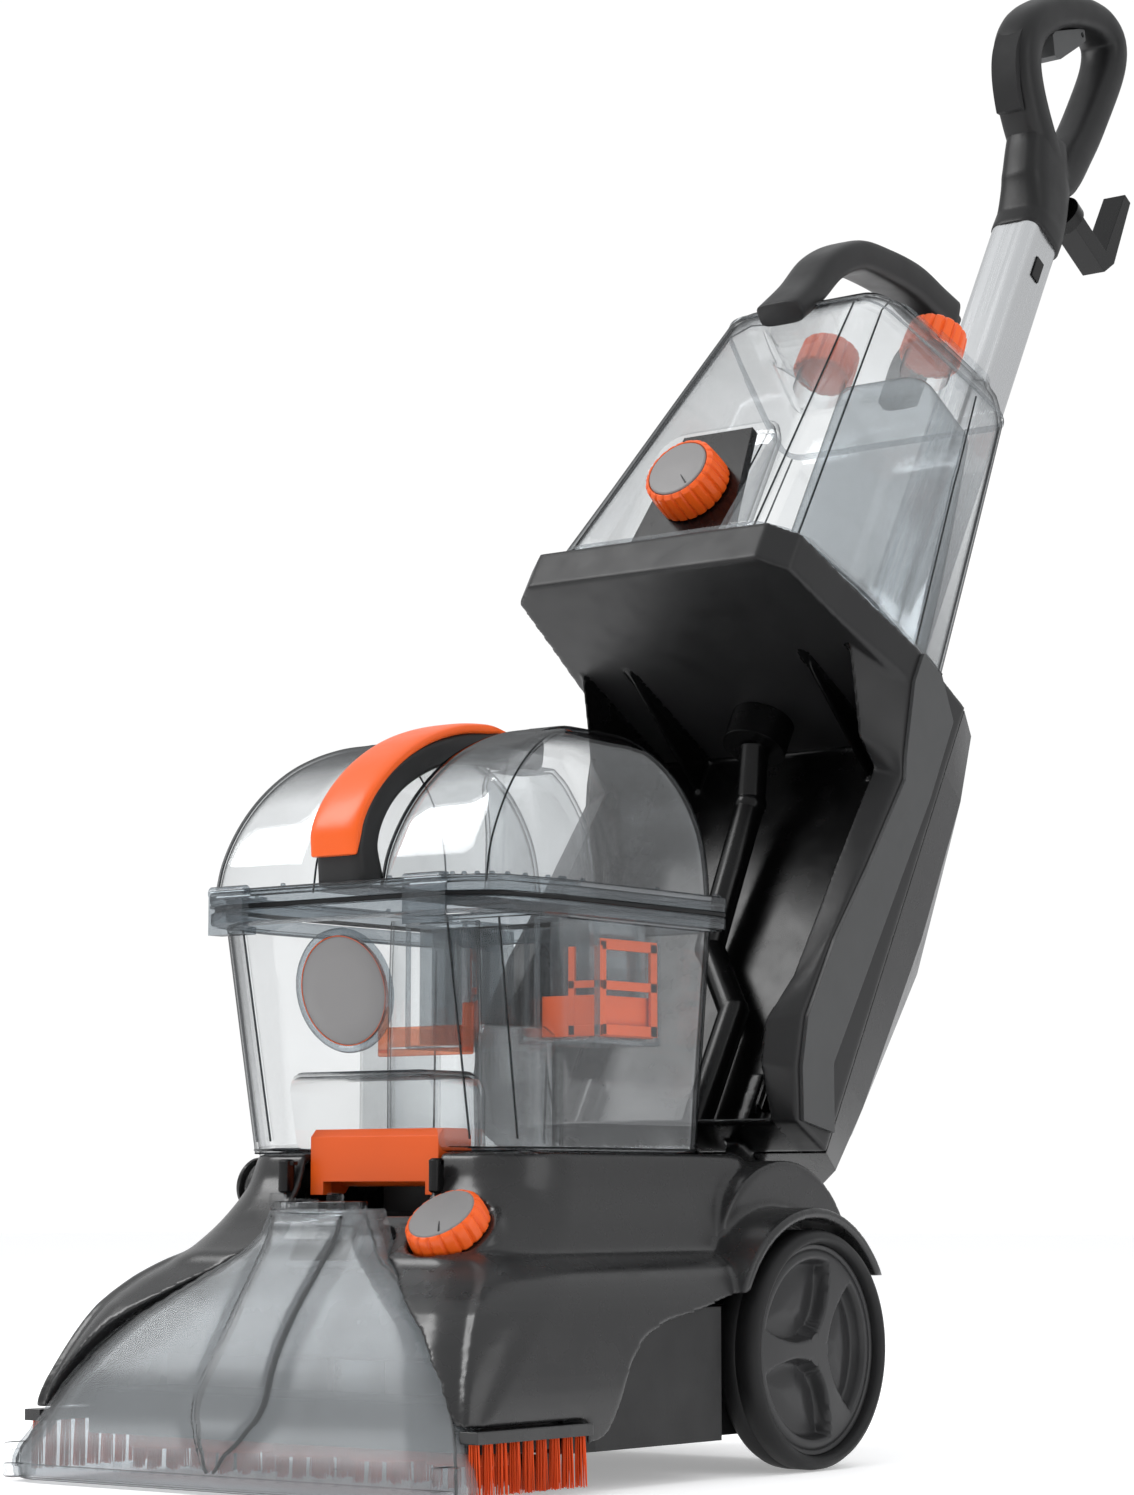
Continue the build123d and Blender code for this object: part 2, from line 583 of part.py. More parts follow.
with BuildPart() as body_shell:
    for s in SIDES:
        side_wall(s * 100, s * 118, WALL_IN, WALL_OUT)
        # hollow of the side wall, open to the back
        profile([(-30, 110), (-38, 140), (-28, 200), (-20, 300), (-20, 360), (2, 360), (2, 95), (-20, 95)],
                s * 103, s * 115, mode=Mode.SUBTRACT)
    shelf_plate(372, TRAY_Z, 0)
    shelf_plate(376, TRAY_Z + 1, WALL, mode=Mode.SUBTRACT)
    # back panel, floor and the two hinge arms
    block(-100, 100, -4, 0, 84, 374)
    block(-101, 101, -34, 0, 84, 87)
    for s in SIDES:
        block(s * 57, s * 66, -14, 14, 0, 84)
        block(s * 57, s * 66, -14, 0, 80, 130)
        rod((s * 57, 0, 0), (s * 66, 0, 0), 14)
        block(s * 64, s * 86, -10, 2, 110, 165, mode=Mode.SUBTRACT)
        rod((s * 50, 0, 0), (s * 80, 0, 0), 5 + RUN, mode=Mode.SUBTRACT)
        # stiffening ribs under the tray
        profile([(-133, 372), (-105, 372), (-4, 347), (-4, 372)], s * 64, s * 67)
    rod((0, -40, 370), (0, -40, 380), 12, mode=Mode.SUBTRACT)

with BuildPart() as side_panels:
    strip = [(-58, 376), (-44, 331), (-38, 318), (-46, 250), (-55, 193), (-57, 140), (-48, 112), (-32, 86),
             (-2, 96), (-22, 130), (-10, 324), (-11, 380), (-35, 397), (-58, 397)]
    for s in SIDES:
        profile(strip, s * 118, s * 120.5)

COVER = (
    (84, ((117, 0.3), (112, 20), (84, 44), (56, 52))),
    (130, ((117, 0.3), (113, 26), (88, 56), (58, 70))),
    (250, ((117, 0.3), (113, 32), (90, 68), (60, 87))),
    (350, ((117, 0.3), (112, 30), (86, 66), (58, 84))),
    (397, ((117, 0.3), (108, 26), (80, 58), (56, 77))),
)
COVER_IN = (
    (87, ((114.5, -3), (109.5, 19), (82.5, 42), (55, 49.5))),
    (130, ((114.5, -3), (110.5, 25), (86.5, 54), (57, 67.5))),
    (250, ((114.5, -3), (110.5, 31), (88.5, 66), (59, 84.5))),
    (350, ((114.5, -3), (109.5, 29), (84.5, 64), (57, 81.5))),
    (394.5, ((114.5, -3), (106, 25), (78.5, 56), (55, 74.5))),
)


with BuildPart() as cover_inside:
    plan_loft(COVER_IN)
    block(-130, 130, -10, 0.3, 80, 400, mode=Mode.SUBTRACT)

with BuildPart() as rear_cover:
    plan_loft(COVER)
    add(cover_inside.part, mode=Mode.SUBTRACT)
    block(-114, 114, -5, 2, 87.5, 394, mode=Mode.SUBTRACT)
    # exhaust vents low on both flanks, opening for the spine at the top
    for s in SIDES:
        block(s * 66, s * 84, 20, 90, 112, 163, mode=Mode.SUBTRACT)
    block(-26.5, 26.5, 28, 72, 390, 400, mode=Mode.SUBTRACT)

# height along the body at which the handle tube starts
TUBE_FOOT = 480

with BuildPart() as spine:
    block(-26, 26, 28.5, 71, 330, TUBE_FOOT)
    block(-27, 27, 27, 82, TUBE_FOOT - 7, TUBE_FOOT + 16)
    block(-22, 22, 33, 67, 420, TUBE_FOOT + 8, mode=Mode.SUBTRACT)
    block(-23, 23, 31.5, 68, 320, 400, mode=Mode.SUBTRACT)
    block(-19.1, 19.1, 34.9, 75.1, TUBE_FOOT + 0.5, TUBE_FOOT + 23, mode=Mode.SUBTRACT)

with BuildPart() as handle_tube:
    block(-19, 19, 35, 75, TUBE_FOOT + 0.5, 872)
    fillet(handle_tube.edges().filter_by(Axis.Z), 9)
    block(-19, 19, 35, 65, TUBE_FOOT - 40, TUBE_FOOT + 0.5)
    with BuildSketch(Plane.XY.offset(TUBE_FOOT - 50)):
        with Locations((0, 51)):
            RectangleRounded(34, 28, 6)
    extrude(amount=460, mode=Mode.SUBTRACT)
    block(15, 20, 50, 60, 822, 840, mode=Mode.SUBTRACT)

with BuildPart() as lock_button:
    block(16, 20.2, 50.5, 59.5, 822.5, 839.5)

with BuildPart() as water_feed:
    rod((0, -40, 371.7), (0, -40, 350), 20)
    rod((0, -40, 352), (0, -26, 318), 9)
    rod((0, -26, 320), (0, -18, 215), 9)
    rod((0, -18, 217), (34, -18, 170), 9)
    rod((34, -18, 172), (34, -18, 87.2), 9)
    with Locations((0, -26, 318)):
        Sphere(10)
    with Locations((0, -18, 216)):
        Sphere(9)
    with Locations((34, -18, 171)):
        Sphere(9)

# ---------------------------------------------------------------- mixing dial
with BuildPart() as dial_plate:
    with BuildSketch(Plane.XZ.offset(168)):
        with BuildLine():
            Polyline((-40, 400.3), (40, 400.3), (34, 440), (26, 500), (-26, 500), (-34, 440), close=True)
        make_face()
    extrude(amount=-6)
    block(-38, 38, -176, -162, 399.1, 403)
    rod((0, -160, 453), (0, -170, 453), 4 + RUN, mode=Mode.SUBTRACT)

with BuildPart() as mix_dial:
    with Locations(Plane(origin=(0, -168.4, 453), x_dir=(1, 0, 0), z_dir=(0, -1, 0))):
        ribbed_knob(24.5, 22, 20, 1.7)
    with Locations(Plane(origin=(0, -190.4, 453), x_dir=(1, 0, 0), z_dir=(0, -1, 0))):
        Cylinder(20, 1.6, align=(Align.CENTER, Align.CENTER, Align.MIN))
        with Locations((0, 13, 1.2)):
            Box(1.6, 11, 1.6)
    rod((0, -170, 453), (0, -162.2, 453), 4)

# ---------------------------------------------------------------- clean water tank
CLEAN = (
    (402, ((70, -184), (92, -170), (104, -115), (108, -50), (100, -4))),
    (625, ((48, -143), (60, -130), (68, -100), (82, -40), (88, -4))),
    (650, ((42, -124), (52, -114), (58, -96), (70, -40), (76, -10))),
)
CLEAN_IN = (
    (405, ((68, -180.5), (89.5, -167.5), (101, -114), (105, -50), (97.2, -7))),
    (624, ((46.5, -140), (58, -127.5), (65.5, -99), (79.2, -41), (85.2, -7))),
    (647, ((40.5, -121.5), (49.8, -112), (55.5, -95), (67.5, -42), (73.4, -13))),
)
CAP_X = 42

with BuildPart() as clean_hollow:
    plan_loft(CLEAN_IN)
    block(-46, 46, -200, -155, 400, 509, mode=Mode.SUBTRACT)

with BuildPart() as clean_tank:
    plan_loft(CLEAN)
    add(clean_hollow.part, mode=Mode.SUBTRACT)
    block(-43, 43, -200, -158, 400, 506, mode=Mode.SUBTRACT)
    for s in SIDES:
        rod((s * CAP_X, -50, 646), (s * CAP_X, -50, 668), 16.5)
        rod((s * CAP_X, -50, 640), (s * CAP_X, -50, 670), 13.5, mode=Mode.SUBTRACT)
    rod((0, -40, 400), (0, -40, 410), 8, mode=Mode.SUBTRACT)

with BuildPart() as solution_tank:
    box_loft(((408, 8, 94, -88, -14, 10), (600, 8, 74, -88, -16, 10)))
    box_loft(((410, 10, 92, -86, -16, 8), (598, 10, 72, -86, -18, 8)), mode=Mode.SUBTRACT)

with BuildPart() as tank_valve:
    rod((0, -40, 389), (0, -40, 401.7), 11)
    rod((0, -40, 401), (0, -40, 412), 7.9)

with BuildPart() as clean_tank_handle:
    profile([(-161, 612), (-146.4, 612), (-143.8, 625.5), (-124.6, 650.4), (-116, 650.4), (-120, 684),
             (-105, 696), (-42, 715), (-24, 719), (-24, 650.4), (-10, 650.4), (-6, 700), (2, 723), (2, 747),
             (-10, 749), (-88, 735), (-110, 722), (-134, 696), (-150, 660)], -17, 17)

caps = []
for s in SIDES:
    with BuildPart() as cap:
        with Locations((s * CAP_X, -50, 653.5)):
            ribbed_knob(20.5, 24, 16, 1.6)
        rod((s * CAP_X, -50, 650), (s * CAP_X, -50, 669), 16.9, mode=Mode.SUBTRACT)
        rod((s * CAP_X, -50, 677), (s * CAP_X, -50, 682), 10)
    caps.append(cap)

# ---------------------------------------------------------------- handle grip
LOOP = ((40, 866), (30, 895), (8, 920), (-18, 943), (-32, 968), (-29, 1000), (-12, 1035), (18, 1066), (52, 1091),
        (76, 1093), (89, 1078), (93, 1050), (92, 1018), (84, 965), (78, 920), (76, 866))
EYE = ((60, 936), (-7, 992), (-8, 1006), (46, 1052), (60, 1058), (67, 1050), (67, 1010))
EDGE_P = (-8, 1000)
EDGE_D = (0.772, 0.635)


def along(s, n):
    """Point on the trigger's edge: s along it, n out into the hand opening."""
    return (EDGE_P[0] + s * EDGE_D[0] + n * EDGE_D[1], EDGE_P[1] + s * EDGE_D[1] - n * EDGE_D[0])


def loop_outline():
    """Closed smooth outline of the grip."""
    with BuildLine() as edge:
        Spline(*LOOP[1:-1])
        Line(LOOP[-2], LOOP[-1])
        Line(LOOP[-1], LOOP[0])
        Line(LOOP[0], LOOP[1])
    make_face(edge.edges())


PAD = [(-2, 934), (-14.5, 946), (-28.3, 969), (-25.6, 999), (-9, 1033), (2, 1045), (-20, 1060), (-60, 1000),
       (-60, 940), (-20, 925)]
with BuildPart() as grip_pad:
    with BuildSketch(Plane.YZ.offset(-10)):
        loop_outline()
    extrude(amount=20)
    profile(PAD, -30, 30, mode=Mode.INTERSECT)

HOLLOW = ((50, 882), (38, 902), (15, 926), (-11, 949), (-24, 970), (-22, 998), (-7, 1030), (21, 1058),
          (52, 1083), (72, 1084), (81, 1074), (85, 1050), (84, 1018), (77, 966), (72, 922), (70, 882))
EYE_WALL = ((60, 929), (-12, 989), (-13, 1009), (44, 1058), (62, 1064), (72, 1052), (72, 1008))
with BuildSketch(Plane.YZ) as grip_hollow:
    with BuildLine():
        Polyline(*HOLLOW, close=True)
    make_face()
    with BuildLine():
        Polyline(*EYE_WALL, close=True)
    make_face(mode=Mode.SUBTRACT)

grips = []
for s in SIDES:
    with BuildPart() as grip:
        with BuildSketch(Plane.YZ):
            loop_outline()
        extrude(amount=s * 17)
        chamfer(grip.faces().sort_by(Axis.X)[-1 if s > 0 else 0].edges(), 4.5)
        with BuildSketch(Plane.YZ):
            with BuildLine():
                Polyline(*EYE, close=True)
            make_face()
        extrude(amount=s * 20, mode=Mode.SUBTRACT)
        extrude(grip_hollow.sketch, amount=12.5, dir=(s, 0, 0), mode=Mode.SUBTRACT)
        profile(PAD, 0, s * 10, mode=Mode.SUBTRACT)
        # socket for the tube, pocket and stub pin for the trigger
        block(-19, 19, 35, 75, 860, 872.1, mode=Mode.SUBTRACT)
        profile([along(13, -19), along(68, -19), along(68, 3), along(13, 3)], 0, s * 10, mode=Mode.SUBTRACT)
        centre = along(60, -8)
        rod((0, centre[0], centre[1]), (s * 14, centre[0], centre[1]), 2)
        # pin that carries the cord hook, moulded on one shell
        rod((0, 70, 915), (0, 90.5, 915), 3, mode=Mode.ADD if s > 0 else Mode.SUBTRACT)
    grips.append(grip)

with BuildPart() as trigger:
    profile([along(16, -4), along(16, 11), along(24, 13), along(56, 0), along(64, -4), along(64, -12),
             along(56, -12), along(20, -7)], -9.4, 9.4)
    centre = along(60, -8)
    rod((-12, centre[0], centre[1]), (12, centre[0], centre[1]), 2 + RUN, mode=Mode.SUBTRACT)

with BuildPart() as cord_hook:
    rod((0, 82.5, 915), (0, 92, 915), 15)
    block(-9, 9, 88, 140, 909, 924)
    profile([(130, 909), (142, 909), (150, 924), (147, 982), (138, 982), (136, 924), (128, 924)], -9, 9)
    rod((0, 80, 915), (0, 91, 915), 3 + RUN, mode=Mode.SUBTRACT)

with BuildPart() as cord_gland:
    rod((0, 71, 430), (0, 82, 430), 11)
    rod((0, 82, 430), (0, 98, 430), 7)
    rod((0, 80, 430), (0, 100, 430), 3.6, mode=Mode.SUBTRACT)

# ---------------------------------------------------------------- write every piece
base_pieces = {
    "base_chassis": base_chassis, "base_hood": base_hood, "nozzle_cover": nozzle_cover,
    "nozzle_backplate": nozzle_backplate, "base_ducts": base_ducts, "brush_block": brush_block,
    "brush_pinion": brush_pinion, "brush_motor": brush_motor, "edge_brush_holders": edge_brush_holders,
    "edge_brush_tufts": edge_brush_tufts, "suction_motor": suction_motor, "water_pump": water_pump,
    "axle_and_pins": axle_and_pins, "front_rollers": front_rollers, "mode_knob": mode_knob,
    "release_lever": release_lever, "power_pedal": power_pedal, "recline_pedal": recline_pedal,
    "hose_port_door": hose_port_door, "base_screws": base_screws, "dirty_tank": dirty_tank, "badge": badge,
    "dirty_tank_lid": dirty_tank_lid, "lid_gasket": lid_gasket, "lid_handle_core": lid_handle_core,
    "lid_handle_grip": lid_handle_grip, "separator": separator, "float_valve": float_valve,
    "tyre_left": tyres[1], "tyre_right": tyres[0], "hub_left": hubs[1], "hub_right": hubs[0],
    "latch_left": latches[1], "latch_right": latches[0],
}
for index, one_brush in enumerate(brushes):
    base_pieces[f"brush_{index + 1}"] = one_brush
for name, build in base_pieces.items():
    save(name, build, BASE)

body_pieces = {
    "body_shell": body_shell, "side_panels": side_panels, "rear_cover": rear_cover, "spine": spine,
    "handle_tube": handle_tube, "lock_button": lock_button, "water_feed": water_feed,
    "dial_plate": dial_plate, "mix_dial": mix_dial, "clean_tank": clean_tank,
    "solution_tank": solution_tank, "tank_valve": tank_valve, "clean_tank_handle": clean_tank_handle,
    "water_cap": caps[1], "solution_cap": caps[0], "grip_left": grips[1], "grip_right": grips[0],
    "grip_pad": grip_pad, "trigger": trigger, "cord_hook": cord_hook, "cord_gland": cord_gland,
}
for name, build in body_pieces.items():
    save(name, build, BODY)
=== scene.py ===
"""Upright carpet washer: smooth shells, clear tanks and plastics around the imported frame."""
import json
import math
import random

import bmesh
import bpy
from mathutils import Matrix, Vector


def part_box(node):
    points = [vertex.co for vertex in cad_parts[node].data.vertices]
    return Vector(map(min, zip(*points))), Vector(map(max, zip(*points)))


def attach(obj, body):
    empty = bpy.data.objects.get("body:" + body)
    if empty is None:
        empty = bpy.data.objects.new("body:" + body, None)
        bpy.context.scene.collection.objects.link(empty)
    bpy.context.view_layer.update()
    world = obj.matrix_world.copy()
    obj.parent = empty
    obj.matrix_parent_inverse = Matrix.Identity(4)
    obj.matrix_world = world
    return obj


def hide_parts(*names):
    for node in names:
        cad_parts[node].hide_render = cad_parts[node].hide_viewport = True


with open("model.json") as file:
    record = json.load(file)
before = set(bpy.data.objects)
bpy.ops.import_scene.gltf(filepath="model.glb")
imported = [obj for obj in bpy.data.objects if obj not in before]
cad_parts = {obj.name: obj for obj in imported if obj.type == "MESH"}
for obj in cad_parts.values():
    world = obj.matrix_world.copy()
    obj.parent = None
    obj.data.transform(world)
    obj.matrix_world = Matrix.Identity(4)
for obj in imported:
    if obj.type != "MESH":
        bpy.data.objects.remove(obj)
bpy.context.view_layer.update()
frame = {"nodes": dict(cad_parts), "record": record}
NODES = frame["nodes"]
MM = 0.001
S30, C30 = 0.5, math.cos(math.radians(30))
UP = Vector((0, S30, C30))
UPRIGHT = Vector((0, 0, 1))
X = Vector((1, 0, 0))
Y = Vector((0, 1, 0))
BACK = Vector((0, C30, -S30))
rnd = random.Random(7)


SIDES = (-1, 1)
ORIGIN_Y, PIVOT_Y, PIVOT_Z = 476.65, -141.65, 100


def W(x, y, z):
    """A point of the base: millimetres, y from the nozzle lip."""
    return Vector((x * MM, (y - ORIGIN_Y) * MM, z * MM))


def L(x, b, u):
    """A point of the leaning body: millimetres, b to the back and u up along it."""
    return Vector((x * MM, (PIVOT_Y + b * C30 + u * S30) * MM, (PIVOT_Z - b * S30 + u * C30) * MM))


# ---------------------------------------------------------------- mesh helpers

def shade(bm, angle):
    """Smooth shading, with edges over angle degrees kept sharp."""
    limit = math.radians(angle)
    for e in bm.edges:
        e.smooth = len(e.link_faces) != 2 or e.calc_face_angle(0) < limit
    for f in bm.faces:
        f.smooth = True


def mesh_object(bm, name):
    me = bpy.data.meshes.new(name)
    bm.to_mesh(me)
    bm.free()
    o = bpy.data.objects.new(name, me)
    bpy.context.scene.collection.objects.link(o)
    return o


def finish_mesh(bm, name, mat, body, gone=(), angle=34):
    bmesh.ops.recalc_face_normals(bm, faces=bm.faces)
    shade(bm, angle)
    o = mesh_object(bm, name)
    o.data.materials.append(mat)
    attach(o, body)
    if gone:
        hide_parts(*gone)
    return o


def applied(o):
    dg = bpy.context.evaluated_depsgraph_get()
    me = bpy.data.meshes.new_from_object(o.evaluated_get(dg))
    o.modifiers.clear()
    o.data = me
    return o


def thick(o, t, offset=-1.0, angle=34):
    m = o.modifiers.new("wall", "SOLIDIFY")
    m.thickness = t * MM
    m.offset = offset
    m.use_even_offset = True
    m.use_quality_normals = True
    applied(o)
    bm = bmesh.new()
    bm.from_mesh(o.data)
    shade(bm, angle)
    bm.to_mesh(o.data)
    bm.free()


def turns(n):
    """n even angles round a circle."""
    return [2 * math.pi * i / n for i in range(n)]


def span(s, a, b):
    """The ordered pair of a and b on side s."""
    return sorted((s * a, s * b))


def bridge(bm, rings, cap0=True, cap1=True, loop=False):
    rows = [[bm.verts.new(p) for p in r] for r in rings]
    n = len(rows[0])
    pairs = list(zip(rows, rows[1:])) + ([(rows[-1], rows[0])] if loop else [])
    for a, b in pairs:
        for i in range(n):
            k = (i + 1) % n
            bm.faces.new((a[i], a[k], b[k], b[i]))
    if cap0 and not loop:
        bm.faces.new(rows[0][::-1])
    if cap1 and not loop:
        bm.faces.new(rows[-1])
    return rows


def grid(bm, rows):
    vs = [[bm.verts.new(p) for p in r] for r in rows]
    for a, b in zip(vs, vs[1:]):
        for i in range(len(a) - 1):
            bm.faces.new((a[i], a[i + 1], b[i + 1], b[i]))
    return vs


def smooth_line(pts, n, closed=False):
    """n points along a Catmull-Rom curve through pts, evenly spaced by length."""
    pts = [Vector(p) for p in pts]
    k = len(pts)
    fine = []
    spans = k if closed else k - 1
    for i in range(spans):
        p1, p2 = pts[i], pts[(i + 1) % k]
        p0 = pts[i - 1] if (closed or i > 0) else p1 * 2 - p2
        p3 = pts[(i + 2) % k] if (closed or i + 2 < k) else p2 * 2 - p1
        for j in range(16):
            t = j / 16
            fine.append(0.5 * ((2 * p1) + (p2 - p0) * t + (2 * p0 - 5 * p1 + 4 * p2 - p3) * t * t
                               + (3 * p1 - p0 - 3 * p2 + p3) * t ** 3))
    if not closed:
        fine.append(pts[-1])
    else:
        fine.append(fine[0])
    acc = [0.0]
    for a, b in zip(fine, fine[1:]):
        acc.append(acc[-1] + (b - a).length)
    out = []
    m = n if closed else n - 1
    j = 0
    for i in range(n):
        d = acc[-1] * i / m
        while j < len(acc) - 2 and acc[j + 1] < d:
            j += 1
        f = (d - acc[j]) / max(acc[j + 1] - acc[j], 1e-12)
        out.append(fine[j].lerp(fine[j + 1], min(max(f, 0), 1)))
    return out


def lerp_table(table, t):
    """Linear look-up in rows (t, value)."""
    if t <= table[0][0]:
        return table[0][1]
    for (a, x), (b, y) in zip(table, table[1:]):
        if t <= b:
            return x + (y - x) * (t - a) / (b - a)
    return table[-1][1]


def smoothstep(a, b, x):
    t = min(max((x - a) / (b - a), 0.0), 1.0)
    return t * t * (3 - 2 * t)


def rounded(corners, radii, arc=6, side=4):
    """Closed outline with rounded corners; equal counts for outlines with equally many corners."""
    n = len(corners)
    cs = [Vector(c) for c in corners]
    ends = []
    for i in range(n):
        a, b, d = cs[i - 1], cs[i], cs[(i + 1) % n]
        u, v = (a - b).normalized(), (d - b).normalized()
        half = max(u.angle(v) / 2, 0.2)
        r = radii[i] if hasattr(radii, "__len__") else radii
        t = min(r / math.tan(half) if half < 1.5 else r * 0.2, 0.46 * (a - b).length, 0.46 * (d - b).length)
        ends.append((b + u * t, b, b + v * t))
    out = []
    for i in range(n):
        p0, b, p2 = ends[i]
        for k in range(arc + 1):
            s = k / arc
            w = 0.82
            q = ((1 - s) ** 2 * p0 + 2 * w * s * (1 - s) * b + s * s * p2) / ((1 - s) ** 2 + 2 * w * s * (1 - s) + s * s)
            out.append(q)
        nxt = ends[(i + 1) % n][0]
        for k in range(1, side):
            out.append(p2.lerp(nxt, k / side))
    return out


def rect(x0, x1, y0, y1, r, arc=4, side=3):
    """Outline of a rectangle with rounded corners."""
    return rounded([(x0, y0), (x1, y0), (x1, y1), (x0, y1)], r, arc=arc, side=side)


def placed(outline, z, to=W):
    return [to(p.x, p.y, z) for p in outline]


def mirrored(half):
    """Full outline from the +x half, front to back."""
    return [(x, y) for x, y in half] + [(-x, y) for x, y in reversed(half)]


def between(rings, per=6):
    """More rings, on a Catmull-Rom curve through the given ones."""
    out = []
    for i in range(len(rings) - 1):
        p1, p2 = rings[i], rings[i + 1]
        p0 = rings[i - 1] if i > 0 else None
        p3 = rings[i + 2] if i + 2 < len(rings) else None
        for j in range(per):
            t = j / per
            row = []
            for k in range(len(p1)):
                a, b = p1[k], p2[k]
                z0 = p0[k] if p0 else a * 2 - b
                z3 = p3[k] if p3 else b * 2 - a
                row.append(0.5 * ((2 * a) + (b - z0) * t + (2 * z0 - 5 * a + 4 * b - z3) * t * t
                                  + (3 * a - z0 - 3 * b + z3) * t ** 3))
            out.append(row)
    out.append([p.copy() for p in rings[-1]])
    return out


def squircle(n, w, h, e=4.0):
    """Ring of n (across, along) offsets of a rounded rectangle w by h half sizes."""
    out = []
    for a in turns(n):
        c, s = math.cos(a), math.sin(a)
        out.append((w * math.copysign(abs(c) ** (2 / e), c), h * math.copysign(abs(s) ** (2 / e), s)))
    return out


def sweep(bm, path, across, half_w, half_h, e=4.0, n=28, loop=False):
    """Sweeps a rounded section along path. across is the width direction; half_w, half_h in mm, numbers or tables."""
    rings = []
    m = len(path)
    for i, p in enumerate(path):
        if loop:
            t = (path[(i + 1) % m] - path[i - 1]).normalized()
        else:
            t = (path[min(i + 1, m - 1)] - path[max(i - 1, 0)]).normalized()
        x = (across - t * across.dot(t)).normalized()
        y = t.cross(x)
        f = i / (m - 1)
        w = lerp_table(half_w, f) if isinstance(half_w, list) else half_w
        h = lerp_table(half_h, f) if isinstance(half_h, list) else half_h
        rings.append([p + x * (a * MM) + y * (b * MM) for a, b in squircle(n, w, h, e)])
    if not loop:
        ends = []
        for ring, t in ((rings[0], path[0] - path[1]), (rings[-1], path[-1] - path[-2])):
            c = sum(ring, Vector()) / len(ring)
            out = t.normalized()
            d = 1.2 * MM
            ends.append(([c + (q - c) * 0.985 + out * d * 0.55 for q in ring],
                         [c + (q - c) * 0.93 + out * d for q in ring]))
        rings = [ends[0][1], ends[0][0]] + rings + [ends[1][0], ends[1][1]]
    bridge(bm, rings, loop=loop)


def lathe(bm, profile, centre, axis, n=72, wave=None):
    """Turns (radius, along) rows in mm round axis through centre."""
    axis = Vector(axis).normalized()
    ref = Vector((1, 0, 0)) if abs(axis.x) < 0.9 else Vector((0, 0, 1))
    x = (ref - axis * ref.dot(axis)).normalized()
    y = axis.cross(x)
    rings = []
    for r, a in profile:
        row = []
        for t in turns(n):
            rr = r + (wave(t, r) if wave else 0)
            row.append(centre + axis * (a * MM) + (x * math.cos(t) + y * math.sin(t)) * (rr * MM))
        rings.append(row)
    bridge(bm, rings)


def block(bm, lo, hi, r=0.6):
    """A small block with chamfered edges between two corners."""
    x0, y0, z0 = lo
    x1, y1, z1 = hi
    bridge(bm, [placed(rect(x0 + k, x1 - k, y0 + k, y1 - k, r * 1.5, 2, 1), z)
                for z, k in ((z0, r), (z0 + r, 0), (z1 - r, 0), (z1, r))])


# ---------------------------------------------------------------- materials

def new_mat(name):
    m = bpy.data.materials.new(name)
    m.use_nodes = True
    nt = m.node_tree
    return m, nt, nt.nodes["Principled BSDF"]


def feed(nt, node, inputs):
    """Sets a node's inputs, by name or number, to values or to the outputs that drive them."""
    for key, value in inputs.items():
        if isinstance(value, bpy.types.NodeSocket):
            nt.links.new(value, node.inputs[key])
        else:
            node.inputs[key].default_value = value


def add(nt, kind, inputs=None, **settings):
    node = nt.nodes.new("ShaderNode" + kind)
    for key, value in settings.items():
        setattr(node, key, value)
    feed(nt, node, inputs or {})
    return node


def noise(nt, source, scale, detail):
    return add(nt, "TexNoise", {"Vector": source, "Scale": scale, "Detail": detail}).outputs["Fac"]


def mapped(nt, value, low, high, start=0.0, end=1.0):
    return add(nt, "MapRange", {"Value": value, "From Min": start, "From Max": end,
                                "To Min": low, "To Max": high}).outputs["Result"]


def ramp_of(nt, fac, first, last, step=None):
    """A colour ramp through (position, colour) pairs."""
    ramp = add(nt, "ValToRGB", {"Fac": fac})
    stops = ramp.color_ramp.elements
    for k, (at, col) in enumerate((first, last)):
        stops[k].position = at
        stops[k].color = (*col, 1)
    if step:
        stops.new(step[0]).color = (*step[1], 1)
    return ramp.outputs["Color"]


def solid(name, col, rough=0.4, grain=0.12, scale=1400, coat=0.0, vary=0.10, bevel=0.7, wear=0.35, metal=0.0,
          spec=0.5, stretch=None, coat_rough=0.12):
    """Moulded plastic, rubber or metal: tone drift, roughness drift, fine surface grain, rounded and worn edges."""
    m, nt, p = new_mat(name)
    src = fine_src = add(nt, "TexCoord").outputs["Object"]
    if stretch:
        turned = add(nt, "Mapping", {"Vector": src, "Rotation": stretch[0]}).outputs["Vector"]
        fine_src = add(nt, "Mapping", {"Vector": turned, "Scale": stretch[1]}).outputs["Vector"]
    tone = ramp_of(nt, noise(nt, src, 9, 5), (0.3, [c * (1 - vary) for c in col]),
                   (0.72, [min(1, c * (1 + vary)) for c in col]))
    rounded_normal = add(nt, "Bevel", {"Radius": bevel * MM}, samples=4).outputs["Normal"]
    true_normal = add(nt, "NewGeometry").outputs["Normal"]
    dot = add(nt, "VectorMath", {0: rounded_normal, 1: true_normal}, operation="DOT_PRODUCT").outputs["Value"]
    scuff = (*[min(1, c * 1.5 + 0.015) for c in col], 1)
    worn = add(nt, "Mix", {0: mapped(nt, dot, 0.0, wear, 0.985, 0.8), 6: tone, 7: scuff}, data_type="RGBA").outputs[2]
    patchy = mapped(nt, noise(nt, fine_src, 55, 6), max(0.02, rough - 0.06), min(1, rough + 0.06), 0.3, 0.7)
    bump = add(nt, "Bump", {"Strength": grain, "Distance": 0.0003, "Height": noise(nt, fine_src, scale, 3),
                            "Normal": rounded_normal}).outputs["Normal"]
    feed(nt, p, {"Base Color": worn, "Roughness": patchy, "Normal": bump, "Metallic": metal,
                 "Specular IOR Level": spec, "Coat Weight": coat, "Coat Roughness": coat_rough})
    return m


